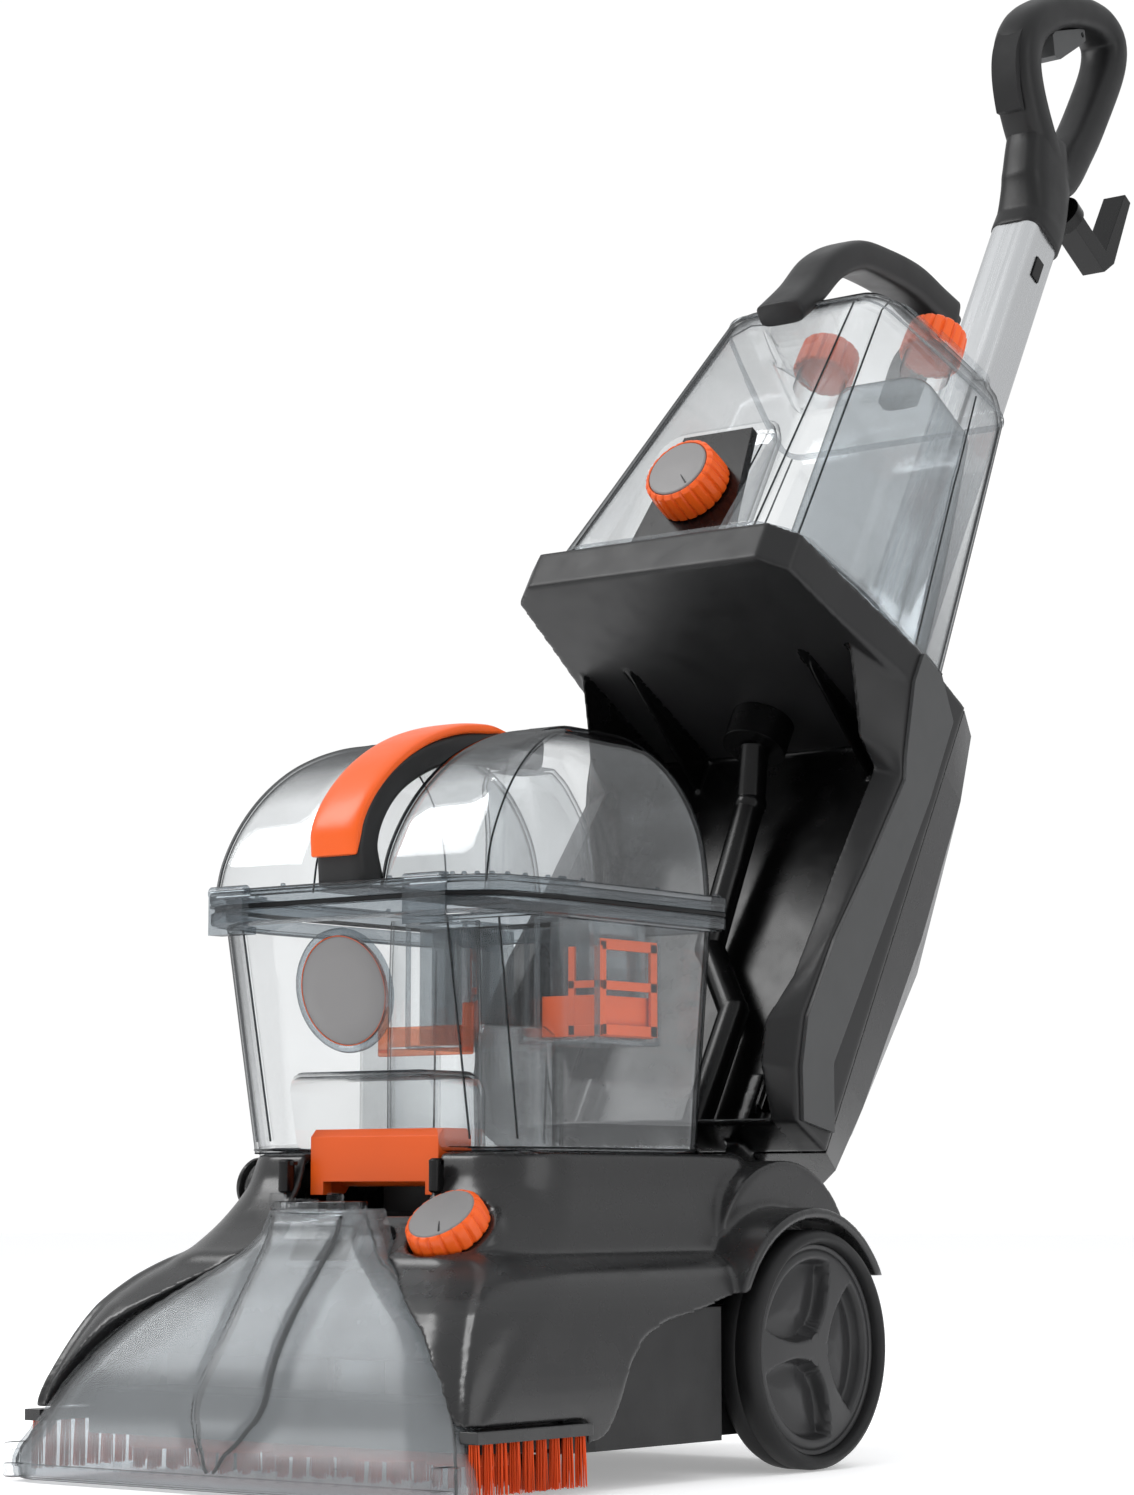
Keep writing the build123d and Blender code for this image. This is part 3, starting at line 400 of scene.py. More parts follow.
def clear(name, face, edge, gloss_rough=0.03, start=0.5, ior=1.3, wave=0.05, haze=0.0,
          haze_col=(0.5, 0.52, 0.53), cap=0.3, end=0.88):
    """Clear moulded plastic: see-through face on, darker where the eye looks along the wall, with a mirror gloss."""
    m, nt, p = new_mat(name)
    nt.nodes.remove(p)
    facing = add(nt, "LayerWeight", {"Blend": 0.5}).outputs["Facing"]
    tint = ramp_of(nt, facing, (start, face), (end, edge),
                   (start + (end - start) * 0.45, [f * 0.62 + e * 0.38 for f, e in zip(face, edge)]))
    drift = noise(nt, add(nt, "TexCoord").outputs["Object"], 14, 2)
    tone = add(nt, "Mix", {0: 1, 6: tint, 7: mapped(nt, drift, 0.955, 1.03)}, data_type="RGBA",
               blend_type="MULTIPLY").outputs[2]
    body = add(nt, "BsdfTransparent", {"Color": tone}).outputs["BSDF"]
    bump = add(nt, "Bump", {"Strength": wave, "Distance": 0.002, "Height": drift}).outputs["Normal"]
    shine = add(nt, "BsdfGlossy", {"Color": (0.8, 0.81, 0.82, 1), "Normal": bump,
                                   "Roughness": mapped(nt, drift, gloss_rough * 0.6, gloss_rough * 1.8)}).outputs["BSDF"]
    fresnel = add(nt, "Fresnel", {"IOR": ior}).outputs["Fac"]
    share = add(nt, "Math", {0: fresnel, 1: cap}, operation="MINIMUM").outputs["Value"]
    if haze:
        milk = add(nt, "BsdfDiffuse", {"Color": (*haze_col, 1)}).outputs["BSDF"]
        body = add(nt, "MixShader", {0: haze, 1: body, 2: milk}).outputs["Shader"]
    mix = add(nt, "MixShader", {0: share, 1: body, 2: shine}).outputs["Shader"]
    feed(nt, nt.nodes["Material Output"], {"Surface": mix})
    return m


SOLIDS = {
    "tub_black": dict(col=(0.008, 0.008, 0.0084), rough=0.4, grain=0.2, spec=0.32),
    "inner_black": dict(col=(0.003, 0.003, 0.0032), rough=0.24, grain=0.08, spec=0.28, wear=0.1),
    "hood_grey": dict(col=(0.0165, 0.0165, 0.017), rough=0.27, grain=0.04, coat=0.12, bevel=1.2, wear=0.12, spec=0.42),
    "shell_grey": dict(col=(0.0135, 0.0135, 0.014), rough=0.38, grain=0.16, bevel=1.2, wear=0.3, spec=0.32),
    "panel_grey": dict(col=(0.052, 0.053, 0.054), rough=0.44, grain=0.2, wear=0.3, spec=0.35),
    "orange": dict(col=(0.79, 0.105, 0.009), rough=0.36, grain=0.1, coat=0.06, wear=0.2, vary=0.05, spec=0.35),
    "orange_bristle": dict(col=(0.72, 0.075, 0.008), rough=0.5, grain=0.3, vary=0.2, bevel=0.2, spec=0.25),
    "rubber_black": dict(col=(0.011, 0.011, 0.0115), rough=0.62, grain=0.35, scale=2200, wear=0.4, spec=0.3),
    "tyre_black": dict(col=(0.0075, 0.0075, 0.008), rough=0.5, grain=0.3, scale=1800, wear=0.5, spec=0.3),
    "hub_grey": dict(col=(0.024, 0.024, 0.025), rough=0.36, grain=0.12, wear=0.3, spec=0.35),
    "steel": dict(col=(0.5, 0.51, 0.52), rough=0.3, grain=0.1, metal=1.0, wear=0.1),
    "tube_metal": dict(col=(0.66, 0.67, 0.68), rough=0.27, grain=0.25, metal=1.0, wear=0.1, scale=300, vary=0.03,
                       stretch=((math.radians(30), 0, 0), (6, 6, 0.12))),
    "disc_grey": dict(col=(0.20, 0.195, 0.195), rough=0.38, grain=0.15, wear=0.2, vary=0.05, spec=0.35),
}
CLEARS = {
    "clear": dict(face=(0.978, 0.983, 0.985), edge=(0.035, 0.042, 0.048), ior=1.26, cap=0.22),
    # dark clear plastic for thin lines of painted refraction shade inside the corners and along the edges of clear
    # walls
    "painted_edge_shade": dict(face=(0.16, 0.175, 0.19), edge=(0.01, 0.012, 0.014), start=0.7),
    "flange_clear": dict(face=(0.66, 0.69, 0.71), edge=(0.03, 0.036, 0.042), haze=0.05, haze_col=(0.6, 0.63, 0.65)),
    "smoke_clear": dict(face=(0.84, 0.855, 0.865), edge=(0.04, 0.045, 0.05), haze=0.15, haze_col=(0.55, 0.565, 0.575),
                        gloss_rough=0.16, ior=1.18, cap=0.1),
    "grey_clear": dict(face=(0.80, 0.825, 0.84), edge=(0.12, 0.135, 0.145), haze=0.2, haze_col=(0.33, 0.36, 0.375)),
    "orange_clear": dict(face=(0.97, 0.62, 0.48), edge=(0.6, 0.1, 0.02), haze=0.12, haze_col=(0.8, 0.14, 0.02)),
}
M = {name: solid(name, **look) for name, look in SOLIDS.items()}
M.update({name: clear(name, **look) for name, look in CLEARS.items()})

SLOT = {r["node"]: r["material_slot"] for r in frame["record"]["subparts"]}
for name, o in NODES.items():
    o.data.materials.clear()
    o.data.materials.append(M.get(SLOT.get(name), M["tub_black"]))
for name in ("latch_left", "latch_right"):
    NODES[name].data.materials[0] = M["flange_clear"]
for name in ("water_feed", "dial_plate", "cord_hook", "lock_button"):
    NODES[name].data.materials[0] = M["inner_black"]

# ---------------------------------------------------------------- body shell: the CAD solid, softened


def relax(o, voxel, rounds, ratio=0.0):
    """One skin over the object: voxel remesh, smoothing, then fewer faces if a ratio is given."""
    r = o.modifiers.new("remesh", "REMESH")
    r.mode = "VOXEL"
    r.voxel_size = voxel * MM
    s = o.modifiers.new("relax", "SMOOTH")
    s.factor = 0.5
    s.iterations = rounds
    if ratio:
        o.modifiers.new("fewer", "DECIMATE").ratio = ratio
    applied(o)
    for poly in o.data.polygons:
        poly.use_smooth = True


BAY_HALF_WIDTH, BAY_TOP = 101.5, 371.8
bm = bmesh.new()
bm.from_mesh(NODES["body_shell"].data)
bmesh.ops.remove_doubles(bm, verts=bm.verts, dist=2e-6)
shell = mesh_object(bm, "body_shell_moulding")
shell.data.materials.append(M["shell_grey"])
relax(shell, 1.5, 5, ratio=0.35)
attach(shell, "body")
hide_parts("body_shell")
shell.data.materials.append(M["inner_black"])
for poly in shell.data.polygons:
    c = poly.center / MM
    back, up = c.y - PIVOT_Y, c.z - PIVOT_Z
    if abs(c.x) < BAY_HALF_WIDTH and back * S30 + up * C30 < BAY_TOP:
        poly.material_index = 1

# ---------------------------------------------------------------- hood


def curve(table, z, col):
    """Smooth look-up of one column in rows (z, ...)."""
    rows = [(r[0], r[col]) for r in table]
    if z <= rows[0][0]:
        return rows[0][1]
    for i in range(len(rows) - 1):
        (z1, v1), (z2, v2) = rows[i], rows[i + 1]
        if z <= z2:
            t = (z - z1) / (z2 - z1)
            m1 = (v2 - rows[i - 1][1]) / (z2 - rows[i - 1][0]) if i else (v2 - v1) / (z2 - z1)
            m2 = (rows[i + 2][1] - v1) / (rows[i + 2][0] - z1) if i + 2 < len(rows) else (v2 - v1) / (z2 - z1)
            d = z2 - z1
            return ((2 * t ** 3 - 3 * t * t + 1) * v1 + (t ** 3 - 2 * t * t + t) * d * m1
                    + (-2 * t ** 3 + 3 * t * t) * v2 + (t ** 3 - t * t) * d * m2)
    return rows[-1][1]


# height, half width, front, corner across, corner back, rear
HOOD = [(20, 151, 12, 16, 20, 392), (40, 152, 10, 18, 24, 392), (62, 151, 16, 30, 40, 392), (89, 147, 32, 40, 54, 391),
        (104, 140.5, 50, 43, 58, 389.5), (111, 134, 60, 44, 60, 388), (115.5, 126, 66, 43, 58, 386),
        (118.5, 119.5, 71, 42, 56, 384), (122, 117.2, 78, 40, 54, 381), (135, 113, 97, 36, 50, 366),
        (153, 106.5, 112, 35, 45, 346), (167, 103.5, 117, 34, 44, 333), (170.4, 102.2, 118.5, 33, 43, 331.5),
        (171.3, 99.5, 121, 32, 42, 329)]
# height, angle round the front corner at which the sunk panel ends
CREASE = [(20, 46), (40, 44), (62, 40), (89, 36), (108, 33), (122, 30)]


def hood_ring(z, grow=0.0, lift=0.0, panel=True):
    """Outline of the hood at one height; grow moves it out, lift reads the shape from higher up."""
    q = z + lift
    X, y0, a, b, y1 = [curve(HOOD, q, k) for k in range(1, 6)]
    X, y0, y1, rr = X + grow, y0 - grow, y1 + grow, 26
    half = [((X - a) * i / 10, y0, 0.0) for i in range(10)]
    for i in range(31):
        t = math.pi / 2 * i / 30
        half.append((X - a + a * math.sin(t), y0 + b - b * math.cos(t), 90.0 * i / 30))
    for i in range(1, 18):
        half.append((X, y0 + b + (y1 - rr - y0 - b) * i / 18, 90.0))
    for i in range(9):
        t = math.pi / 2 * i / 8
        half.append((X - rr + rr * math.cos(t), y1 - rr + rr * math.sin(t), 90.0))
    for i in range(1, 8):
        half.append(((X - rr) * (1 - i / 8), y1, 90.0))
    if panel:
        fixed = []
        crease = curve(CREASE, z, 1)
        for x, y, t in half:
            low = 4.6 * (1 - smoothstep(crease - 2.2, crease + 3.4, t)) * (1 - smoothstep(112, 120, z))
            n = Vector((math.sin(math.radians(t)), -math.cos(math.radians(t))))
            fixed.append((x - n.x * low, y - n.y * low, t))
        half = fixed
    ring = [W(x, y, z) for x, y, t in half]
    ring += [W(-x, y, z) for x, y, t in reversed(half) if x > 0.01]
    return ring


def temp(build):
    bm = bmesh.new()
    build(bm)
    bmesh.ops.recalc_face_normals(bm, faces=bm.faces)
    return mesh_object(bm, "temp")


def boolean(o, build, op="DIFFERENCE"):
    """Cuts with, or adds, what build draws, or another object, which is then removed."""
    tool = build if isinstance(build, bpy.types.Object) else temp(build)
    b = o.modifiers.new("cut", "BOOLEAN")
    b.operation = op
    b.object = tool
    b.solver = "EXACT"
    applied(o)
    bpy.data.objects.remove(tool)


def cylinder(bm, x0, x1, y, z, r, n=96):
    bridge(bm, [[W(x, y + r * math.cos(t), z + r * math.sin(t)) for t in turns(n)] for x in (x0, x1)])


def prism(bm, pts, x0, x1):
    bridge(bm, [[W(x, y, z) for y, z in pts] for x in (x0, x1)])


def box_of(bm, x0, x1, y0, y1, z0, z1, r=0.01):
    bridge(bm, [placed(rect(x0, x1, y0, y1, r, 4, 2), z) for z in (z0, z1)])


# half width and depth of the front recess by height
BELL = [(0, 153), (16, 152.5), (34, 143.5), (58, 130), (82, 108), (102, 76), (118, 51), (132, 39), (142, 36), (190, 36)]
DEEP = [(0, 36), (60, 46), (100, 66), (125, 96), (190, 97)]


def recess(bm, grow):
    rows = []
    for i in range(40):
        z = -6 + 196 * i / 39
        w, d = lerp_table(BELL, z) + grow, lerp_table(DEEP, z) + grow
        rows.append(placed(rect(-w, w, -40, d, [0.5, 0.5, 10, 10], 5, 4), z))
    bridge(bm, rows)


ZS = [20, 26, 32, 38, 45, 52, 60, 68, 76, 84, 91, 97, 102, 106, 109, 111.5, 113.5, 115.2, 116.6, 118, 119.4, 121, 123, 126,
      130, 135, 140, 146, 152, 158, 163, 166.5, 168.8, 170.3, 171.0, 171.3]
FENDER = smooth_line([Vector((0, y, z)) for y, z in ((112, 25.5), (126, 29), (137, 42), (147, 60), (162, 75), (186, 84),
                                                     (216, 89), (248, 96), (285, 101), (340, 103.5), (420, 104))], 60)
FENDER_CUT = [(109, -20)] + [(q.y, q.z) for q in FENDER] + [(430, 104), (430, -20)]
KNOB_AT = W(76, 94.6, 128.5)
KNOB_AXIS = Vector((0, -0.642966, 0.765895)).normalized()
HOSE_AT = W(-111.4, 150, 155)
HOSE_AXIS = Vector((-0.975, 0, 0.22)).normalized()
WHEEL_Y, WHEEL_Z = 320, 65
HUMP_Y, HUMP_Z = 335, 100

inside = temp(lambda bm: bridge(bm, [hood_ring(z, -3.0, 3.0, False) for z in ZS if z < 168.5]))
boolean(inside, lambda bm: cylinder(bm, -115, 115, HUMP_Y, HUMP_Z, 65), "UNION")
boolean(inside, lambda bm: recess(bm, 4.5))
for s in SIDES:
    boolean(inside, lambda bm: box_of(bm, *span(s, 114.5, 160), 240, 400, 0, 180))
    boolean(inside, lambda bm: box_of(bm, *span(s, 136, 160), -10, 60, 0, 180))
hood = temp(lambda bm: bridge(bm, [hood_ring(z) for z in ZS]))
boolean(hood, lambda bm: cylinder(bm, -118, 118, HUMP_Y, HUMP_Z, 68), "UNION")
for s in SIDES:
    boolean(hood, lambda bm: cylinder(bm, *span(s, 117, 149.5), WHEEL_Y, WHEEL_Z, 77, 128), "UNION")
boolean(hood, lambda bm: lathe(bm, [(31, -22), (29, -8), (27.6, -2), (26.6, 0.4), (25.4, 0.9), (4, 0.9)],
                               KNOB_AT, KNOB_AXIS, n=72), "UNION")
boolean(hood, lambda bm: lathe(bm, [(17, -24), (15.5, -5), (13.2, -1.6), (12.4, -1.0), (3, -1.0)],
                               HOSE_AT, HOSE_AXIS, n=64), "UNION")
boolean(hood, inside)
boolean(hood, lambda bm: lathe(bm, [(7, -40), (7, 20)], HOSE_AT, HOSE_AXIS, n=40))
for s in SIDES:
    boolean(hood, lambda bm: cylinder(bm, *span(s, 117.5, 170), WHEEL_Y, WHEEL_Z, 71, 128))
    boolean(hood, lambda bm: prism(bm, FENDER_CUT, *span(s, 111, 170)))
    boolean(hood, lambda bm: box_of(bm, *span(s, 128, 170), -20, 111, 0, 37.5))
    boolean(hood, lambda bm: box_of(bm, *span(s, 54, 69), 327, 430, 112, 190, 2))
boolean(hood, lambda bm: box_of(bm, -119, 119, 232, 430, -10, 40))
boolean(hood, lambda bm: recess(bm, 0))
boolean(hood, lambda bm: bridge(bm, [[W(-w, -20, z), W(w, -20, z), W(w, 106.5, z), W(-w, 106.5, z)] for z, w in
                                     ((-4, 134), (18, 134), (30, 134), (40, 132), (50, 127), (58, 121), (66, 112))]))
boolean(hood, lambda bm: box_of(bm, -48, 48, 80, 152, 138, 200, 5))
boolean(hood, lambda bm: box_of(bm, -25, 25, 50, 184.5, 111, 200, 5))
boolean(hood, lambda bm: box_of(bm, -18, 18, 227, 260, 150, 200, 5))
boolean(hood, lambda bm: lathe(bm, [(23.6, 0.0), (23.6, 60)], KNOB_AT, KNOB_AXIS, n=72))
boolean(hood, lambda bm: lathe(bm, [(3.4, -40), (3.4, 60)], KNOB_AT, KNOB_AXIS, n=24))
relax(hood, 1.35, 7)
hood.name = "hood_moulding"
hood.data.materials.clear()
hood.data.materials.append(M["hood_grey"])
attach(hood, "base")
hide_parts("base_hood")
# ---------------------------------------------------------------- nozzle cover

WIDE = [(1.5, 150), (14, 150), (34, 140), (58, 126), (82, 104), (102, 72), (118, 46), (132, 34), (141, 30)]
WIDE_LINE = smooth_line([(w, z, 0) for z, w in WIDE], 90)
PROFILE = smooth_line([(0, y, z) for y, z in
                       [(0, 1.5), (0, 14), (10, 34), (22, 60), (40, 88), (58, 112), (68, 128), (70, 141)]], 90)


VASE = smooth_line([(w, z, 0) for z, w in [(9, 1.5), (18, 7), (27, 14), (37, 20.5), (47, 22), (60, 20), (76, 18.5),
                                           (96, 19), (116, 20.5), (132, 22.5), (141, 24)]], 90)


def width_at(line, z):
    """Half width at a height: of the cover with WIDE_LINE, of the raised throat in its middle with VASE."""
    return min(line, key=lambda q: abs(q.y - z)).x


def profile_at(z):
    return min(PROFILE, key=lambda q: abs(q.z - z))


def nozzle_rows():
    rows = []
    cols = 120
    m = len(PROFILE)
    for i, p in enumerate(PROFILE):
        a, b = PROFILE[max(i - 1, 0)], PROFILE[min(i + 1, m - 1)]
        t = (b - a).normalized()
        nrm = Vector((0, -t.z, t.y))
        y, z = p.y, p.z
        w = width_at(WIDE_LINE, z)
        ch = width_at(VASE, z)
        row = []
        for k in range(-cols, cols + 1):
            s = k / cols
            x = s * w
            lift = 4.6 * smoothstep(ch + 1.6, ch - 1.2, abs(x)) * smoothstep(6, 20, z) * smoothstep(141, 132, z)
            swell = 1.4 * smoothstep(ch + 16, ch + 3, abs(x)) * smoothstep(10, 30, z) * smoothstep(128, 110, z)
            back = 9.0 * smoothstep(0.80, 1.0, abs(s)) ** 2
            row.append(W(x, y + nrm.y * (lift + swell) + back, z + nrm.z * (lift + swell)))
        e0, e1 = row[0], row[-1]
        front = [Vector((e0.x - 0.6 * MM, e0.y + d * MM, e0.z)) for d in (13, 9, 5, 2)]
        rear = [Vector((e1.x + 0.6 * MM, e1.y + d * MM, e1.z)) for d in (2, 5, 9, 13)]
        rows.append(front + row + rear)
    return rows

bm = bmesh.new()
grid(bm, nozzle_rows())
nozzle = finish_mesh(bm, "nozzle_window", M["smoke_clear"], "base", ["nozzle_cover"])
thick(nozzle, 2.2, offset=1.0)

bm = bmesh.new()
lip = [W(-151 + 302 * i / 60, 2.2, 5.5) for i in range(61)]
sweep(bm, lip, UPRIGHT, 3.6, 3.0, e=5, n=16)
for i in range(24):
    x = -144 + 288 * i / 23
    block(bm, (x - 1.1, -1.6, 8), (x + 1.1, 3.2, 13.5 + 3 * (i % 3 == 0)), r=0.4)
for s in SIDES:
    block(bm, (s * 147 - 4, -2.0, 1.8), (s * 147 + 4, 12, 20), r=0.8)
finish_mesh(bm, "nozzle_lip_bar", M["clear"], "base")

# dark tubes along the raised throat's edges: painted refraction shade where the cover's surface steps
bm = bmesh.new()
for s in SIDES:
    line = []
    for i in range(46):
        z = 10 + 126 * i / 45
        p = profile_at(z)
        line.append(W(s * (width_at(VASE, z) + 0.6), p.y - 2.4, p.z + 1.3))
    sweep(bm, line, X, [(0, 0.8), (0.3, 1.5), (0.75, 1.3), (1, 1.0)], [(0, 0.8), (0.4, 1.7), (1, 1.1)], e=2.6, n=14)
finish_mesh(bm, "nozzle_ridges", M["painted_edge_shade"], "base")

bm = bmesh.new()
rings = []
for a in turns(64):
    c = W(29 * math.cos(a), 78 + 12 * math.sin(a), 142.5)
    out = Vector((math.cos(a), math.sin(a), 0))
    rings.append([c + out * (p * MM) + Vector((0, 0, q * MM)) for p, q in squircle(12, 2.2, 3.2, 3.2)])
bridge(bm, rings, loop=True)
rings = []
for z, sx, sy, y in ((126, 29, 8, 68), (131, 30, 9.5, 72), (136, 30, 11, 76), (140.5, 29, 12, 78)):
    rings.append([W(sx * math.cos(t), y + sy * math.sin(t), z) for t in turns(48)])
bridge(bm, between(rings, 4), cap0=False, cap1=False)
for s in SIDES:
    block(bm, (s * 20 - 4, 64, 141), (s * 20 + 4, 70, 150), r=0.8)
block(bm, (-9, 63.5, 139), (9, 67.5, 147), r=0.8)
finish_mesh(bm, "nozzle_neck", M["clear"], "base")

# ---------------------------------------------------------------- dirty water tank


def tank_ring(half, radii, z, grow=0.0, to=W, side=6):
    """A tank's outline at one height; grow moves it out."""
    pts = rounded(mirrored(half), list(radii) + list(reversed(radii)), arc=7, side=side)
    middle = sum(p.y for p in pts) / len(pts)
    out = []
    for p in pts:
        x = p.x + math.copysign(grow, p.x) if abs(p.x) > 1 else p.x
        out.append(to(x, p.y + (grow if p.y > middle else -grow), z))
    return out


def blend(half, other, f):
    return [(a[0] + (b[0] - a[0]) * f, a[1] + (b[1] - a[1]) * f) for a, b in zip(half, other)]


TANK_FOOT, TANK_RIM = 171.3, 297
TANK_LOW = [(71, 115), (95, 125), (99, 160), (97, 286)]
TANK_HIGH = [(73, 91), (98, 104), (104, 150), (102, 294)]
TANK_RADII = [16, 20, 40, 12]


def tank_half(z):
    return blend(TANK_LOW, TANK_HIGH, (z - TANK_FOOT) / (TANK_RIM - TANK_FOOT))


def dirty_ring(z, grow=0.0, shape=None):
    """The dirty tank's outline at z, with the shape that it has at another height if one is given."""
    return tank_ring(tank_half(shape or z), TANK_RADII, z, grow)


def pocket(bm, rows, half, low, high, top, arc, side, to):
    """A recess into a tank's front: rows are (depth, inset)."""
    bridge(bm, [[to(p.x, y, p.y) for p in rect(-half + k, half - k, low, high - k, [0.5, 0.5, top, top], arc, side)]
                for y, k in rows])


def hollow(o, gone=None, wall=2.4, angle=30):
    """A thin-walled tank from a solid one, without the faces that gone picks."""
    bm = bmesh.new()
    bm.from_mesh(o.data)
    if gone:
        bmesh.ops.delete(bm, geom=[f for f in bm.faces if gone(f)], context="FACES")
    bmesh.ops.remove_doubles(bm, verts=bm.verts, dist=5e-5)
    bm.to_mesh(o.data)
    bm.free()
    thick(o, wall, angle=angle)


bm = bmesh.new()
bridge(bm, [dirty_ring(171.3, -6), dirty_ring(172.0, -2.6), dirty_ring(174.0, -0.8), dirty_ring(177.0, -0.1)]
       + [dirty_ring(177 + (296 - 177) * i / 12) for i in range(1, 13)])
tank = finish_mesh(bm, "dirty_tank_wall", M["clear"], "dirty_tank", ["dirty_tank"])
boolean(tank, lambda bm: pocket(bm, ((60, 0), (146, 0), (150.5, 1.6), (152, 5)), 50, 150, 212, 9, 5, 3, W))
hollow(tank, gone=lambda f: f.calc_center_median().z > 0.2955 and abs(f.normal.z) > 0.9)

# rim of the tank and flange of the lid, with the flange's ribs
for z0, z1, g0, g1, nm, body in ((294, 302.6, 1.0, 6.0, "dirty_tank_rim", "dirty_tank"),
                                 (305.2, 313.6, 6.4, 6.4, "lid_flange", "tank_lid")):
    bm = bmesh.new()
    steps = [(z0, -3.4), (z0, g0), (z0 + 1.6, g1 - 0.4), (z0 + 3, g1), (z1 - 1.0, g1), (z1, g1 - 1.2), (z1, -3.4)]
    bridge(bm, [dirty_ring(z, g, TANK_RIM) for z, g in steps], loop=True)
    if nm == "lid_flange":
        outline = dirty_ring((z0 + z1) / 2, 3.2, TANK_RIM)
        m = len(outline)
        for i in range(0, m, 3):
            p, q = outline[i], outline[(i + 1) % m]
            if (q - p).length < 0.0005:
                continue
            c = (p + q) / 2
            cx, cy = c.x / MM, c.y / MM + ORIGIN_Y
            block(bm, (cx - 1.1, cy - 1.1, z1 - 0.2), (cx + 1.1, cy + 1.1, z1 + 1.5), r=0.3)
    finish_mesh(bm, nm, M["flange_clear"], body)


def pane(bm, pts, t, across):
    """A thin moulded wall: outline pts, thickness t along across."""
    c = sum(pts, Vector()) / len(pts)
    rings = []
    for off, k in ((-t / 2, 0.985), (-t / 2 + 0.3, 1.0), (t / 2 - 0.3, 1.0), (t / 2, 0.985)):
        rings.append([c + (p - c) * k + across * (off * MM) for p in pts])
    bridge(bm, rings)


# inner walls of the tank
bm = bmesh.new()
for s in SIDES:
    pane(bm, [W(s * 41, y, z) for y, z in ((157, 174.5), (222, 174.5), (222, 236), (214, 240), (162, 240), (157, 232))],
         1.8, X)
rings = [placed(rect(-w, w, 170 - d, 170 + d, 6), z) for z, w, d in ((176, 24, 14), (240, 24, 14), (298, 23, 13))]
bridge(bm, between(rings, 5), cap0=False, cap1=False)
rings = [placed(rect(-20, 20, 225, 262, 8), z) for z in (174, 236, 297)]
bridge(bm, between(rings, 5), cap0=False, cap1=False)
thick(finish_mesh(bm, "dirty_tank_inner_walls", M["clear"], "dirty_tank"), 1.4, offset=0)

# ---------------------------------------------------------------- lid with its two domes and rear stack
# height, inner and outer side, front, rear, corner radius
DOME = [(311, 21, 99, 93, 297, 11), (330, 21.4, 98.6, 97, 297, 13), (350, 22.4, 97.6, 107, 294, 15),
        (368, 24, 95.6, 121, 286, 17), (383, 26, 92.4, 139, 273, 17), (393, 29.5, 88, 158, 258, 15),
        (399.5, 35, 81.5, 177, 243, 10), (402.4, 43, 73, 192, 231, 6)]


def dome_ring(row, s):
    z, x0, x1, y0, y1, r = row
    return [W(s * p.x, p.y, z) for p in rect(x0, x1, y0, y1, r, 8, 6)]

bm = bmesh.new()
for s in SIDES:
    bridge(bm, between([dome_ring(r, s) for r in DOME], 5), cap0=False)
rings = [placed(rect(-w, w, y0, y1, r, 5, 4), z) for z, w, y0, y1, r in
         ((311, 18.6, 231, 296, 6), (352, 18.4, 231, 291, 8), (378, 17.5, 226, 274, 9), (389, 15, 230, 262, 8))]
bridge(bm, between(rings, 5), cap0=False)
thick(finish_mesh(bm, "lid_domes", M["clear"], "tank_lid", ["dirty_tank_lid"]), 2.2)

bm = bmesh.new()
deck = [dirty_ring(312.6, grow, TANK_RIM) for grow in (2.0, -7.0)]
bridge(bm, deck + [[p - Vector((0, 0, 0.0022)) for p in ring] for ring in reversed(deck)], loop=True)
pane(bm, [W(-19, 93, 311), W(19, 93, 311), W(19, 300, 311), W(-19, 300, 311)], 2.2, UPRIGHT)
finish_mesh(bm, "lid_deck", M["clear"], "tank_lid")


# separator baskets: clear walls, an orange frame with a window at the back right
def basket(bm, s, x0, x1, levels, posts):
    for z0, z1 in levels:
        rings = []
        for z, g in ((z0, 0.4), (z0 + 0.6, 0), (z1 - 0.6, 0), (z1, 0.4), (z1, 2.6), (z0, 2.6)):
            rings.append(placed(rect(s * (x0 + g), s * (x1 - g), 225.4 + g, 284.6 - g, 4), z))
        bridge(bm, rings, loop=True)
    for x, y in posts:
        a, b = span(s, x - 1.3, x + 1.3)
        block(bm, (a, y - 1.3, 231.5), (b, y + 1.3, 302.8), r=0.5)


bm = bmesh.new()
for s in SIDES:
    basket(bm, s, 24.4, 69.6, ((231.2, 233.4), (301, 303)), ((26, 227), (68, 227), (26, 283), (68, 283)))
    for x in (34, 43, 52, 61):
        pane(bm, [W(s * x, y, z) for y, z in ((229, 234), (281, 234), (281, 300), (229, 300))], 0.8, X)
finish_mesh(bm, "separator_walls", M["grey_clear"], "tank_lid", ["separator"])
bm = bmesh.new()
for x0, x1, z0, z1 in ((47, 69.2, 236, 241.5), (47, 69.2, 262, 266), (47, 51, 236, 285), (65.2, 69.2, 236, 285)):
    pane(bm, [W(x0, 229.5, z0), W(x1, 229.5, z0), W(x1, 229.5, z1), W(x0, 229.5, z1)], 2.4, Y)
for y0, y1, z0, z1 in ((228.5, 281, 236, 242), (228.5, 281, 261, 266), (228.5, 234, 236, 288), (275, 281, 236, 288),
                       (228.5, 281, 283, 289)):
    pane(bm, [W(68.2, y0, z0), W(68.2, y1, z0), W(68.2, y1, z1), W(68.2, y0, z1)], 1.8, X)
finish_mesh(bm, "separator_frame", M["orange"], "tank_lid")
bm = bmesh.new()
for x0, x1, z0, z1 in ((-31, -25, 226, 252), (29, 35, 226, 252), (-31, 35, 224, 228)):
    block(bm, (x0, 158, z0), (x1, 161.5, z1), r=0.6)
pane(bm, [W(-24, 160, 229), W(28, 160, 229), W(28, 160, 240), W(-24, 160, 240)], 1.4, Y)
finish_mesh(bm, "baffle_clip", M["orange_clear"], "dirty_tank")

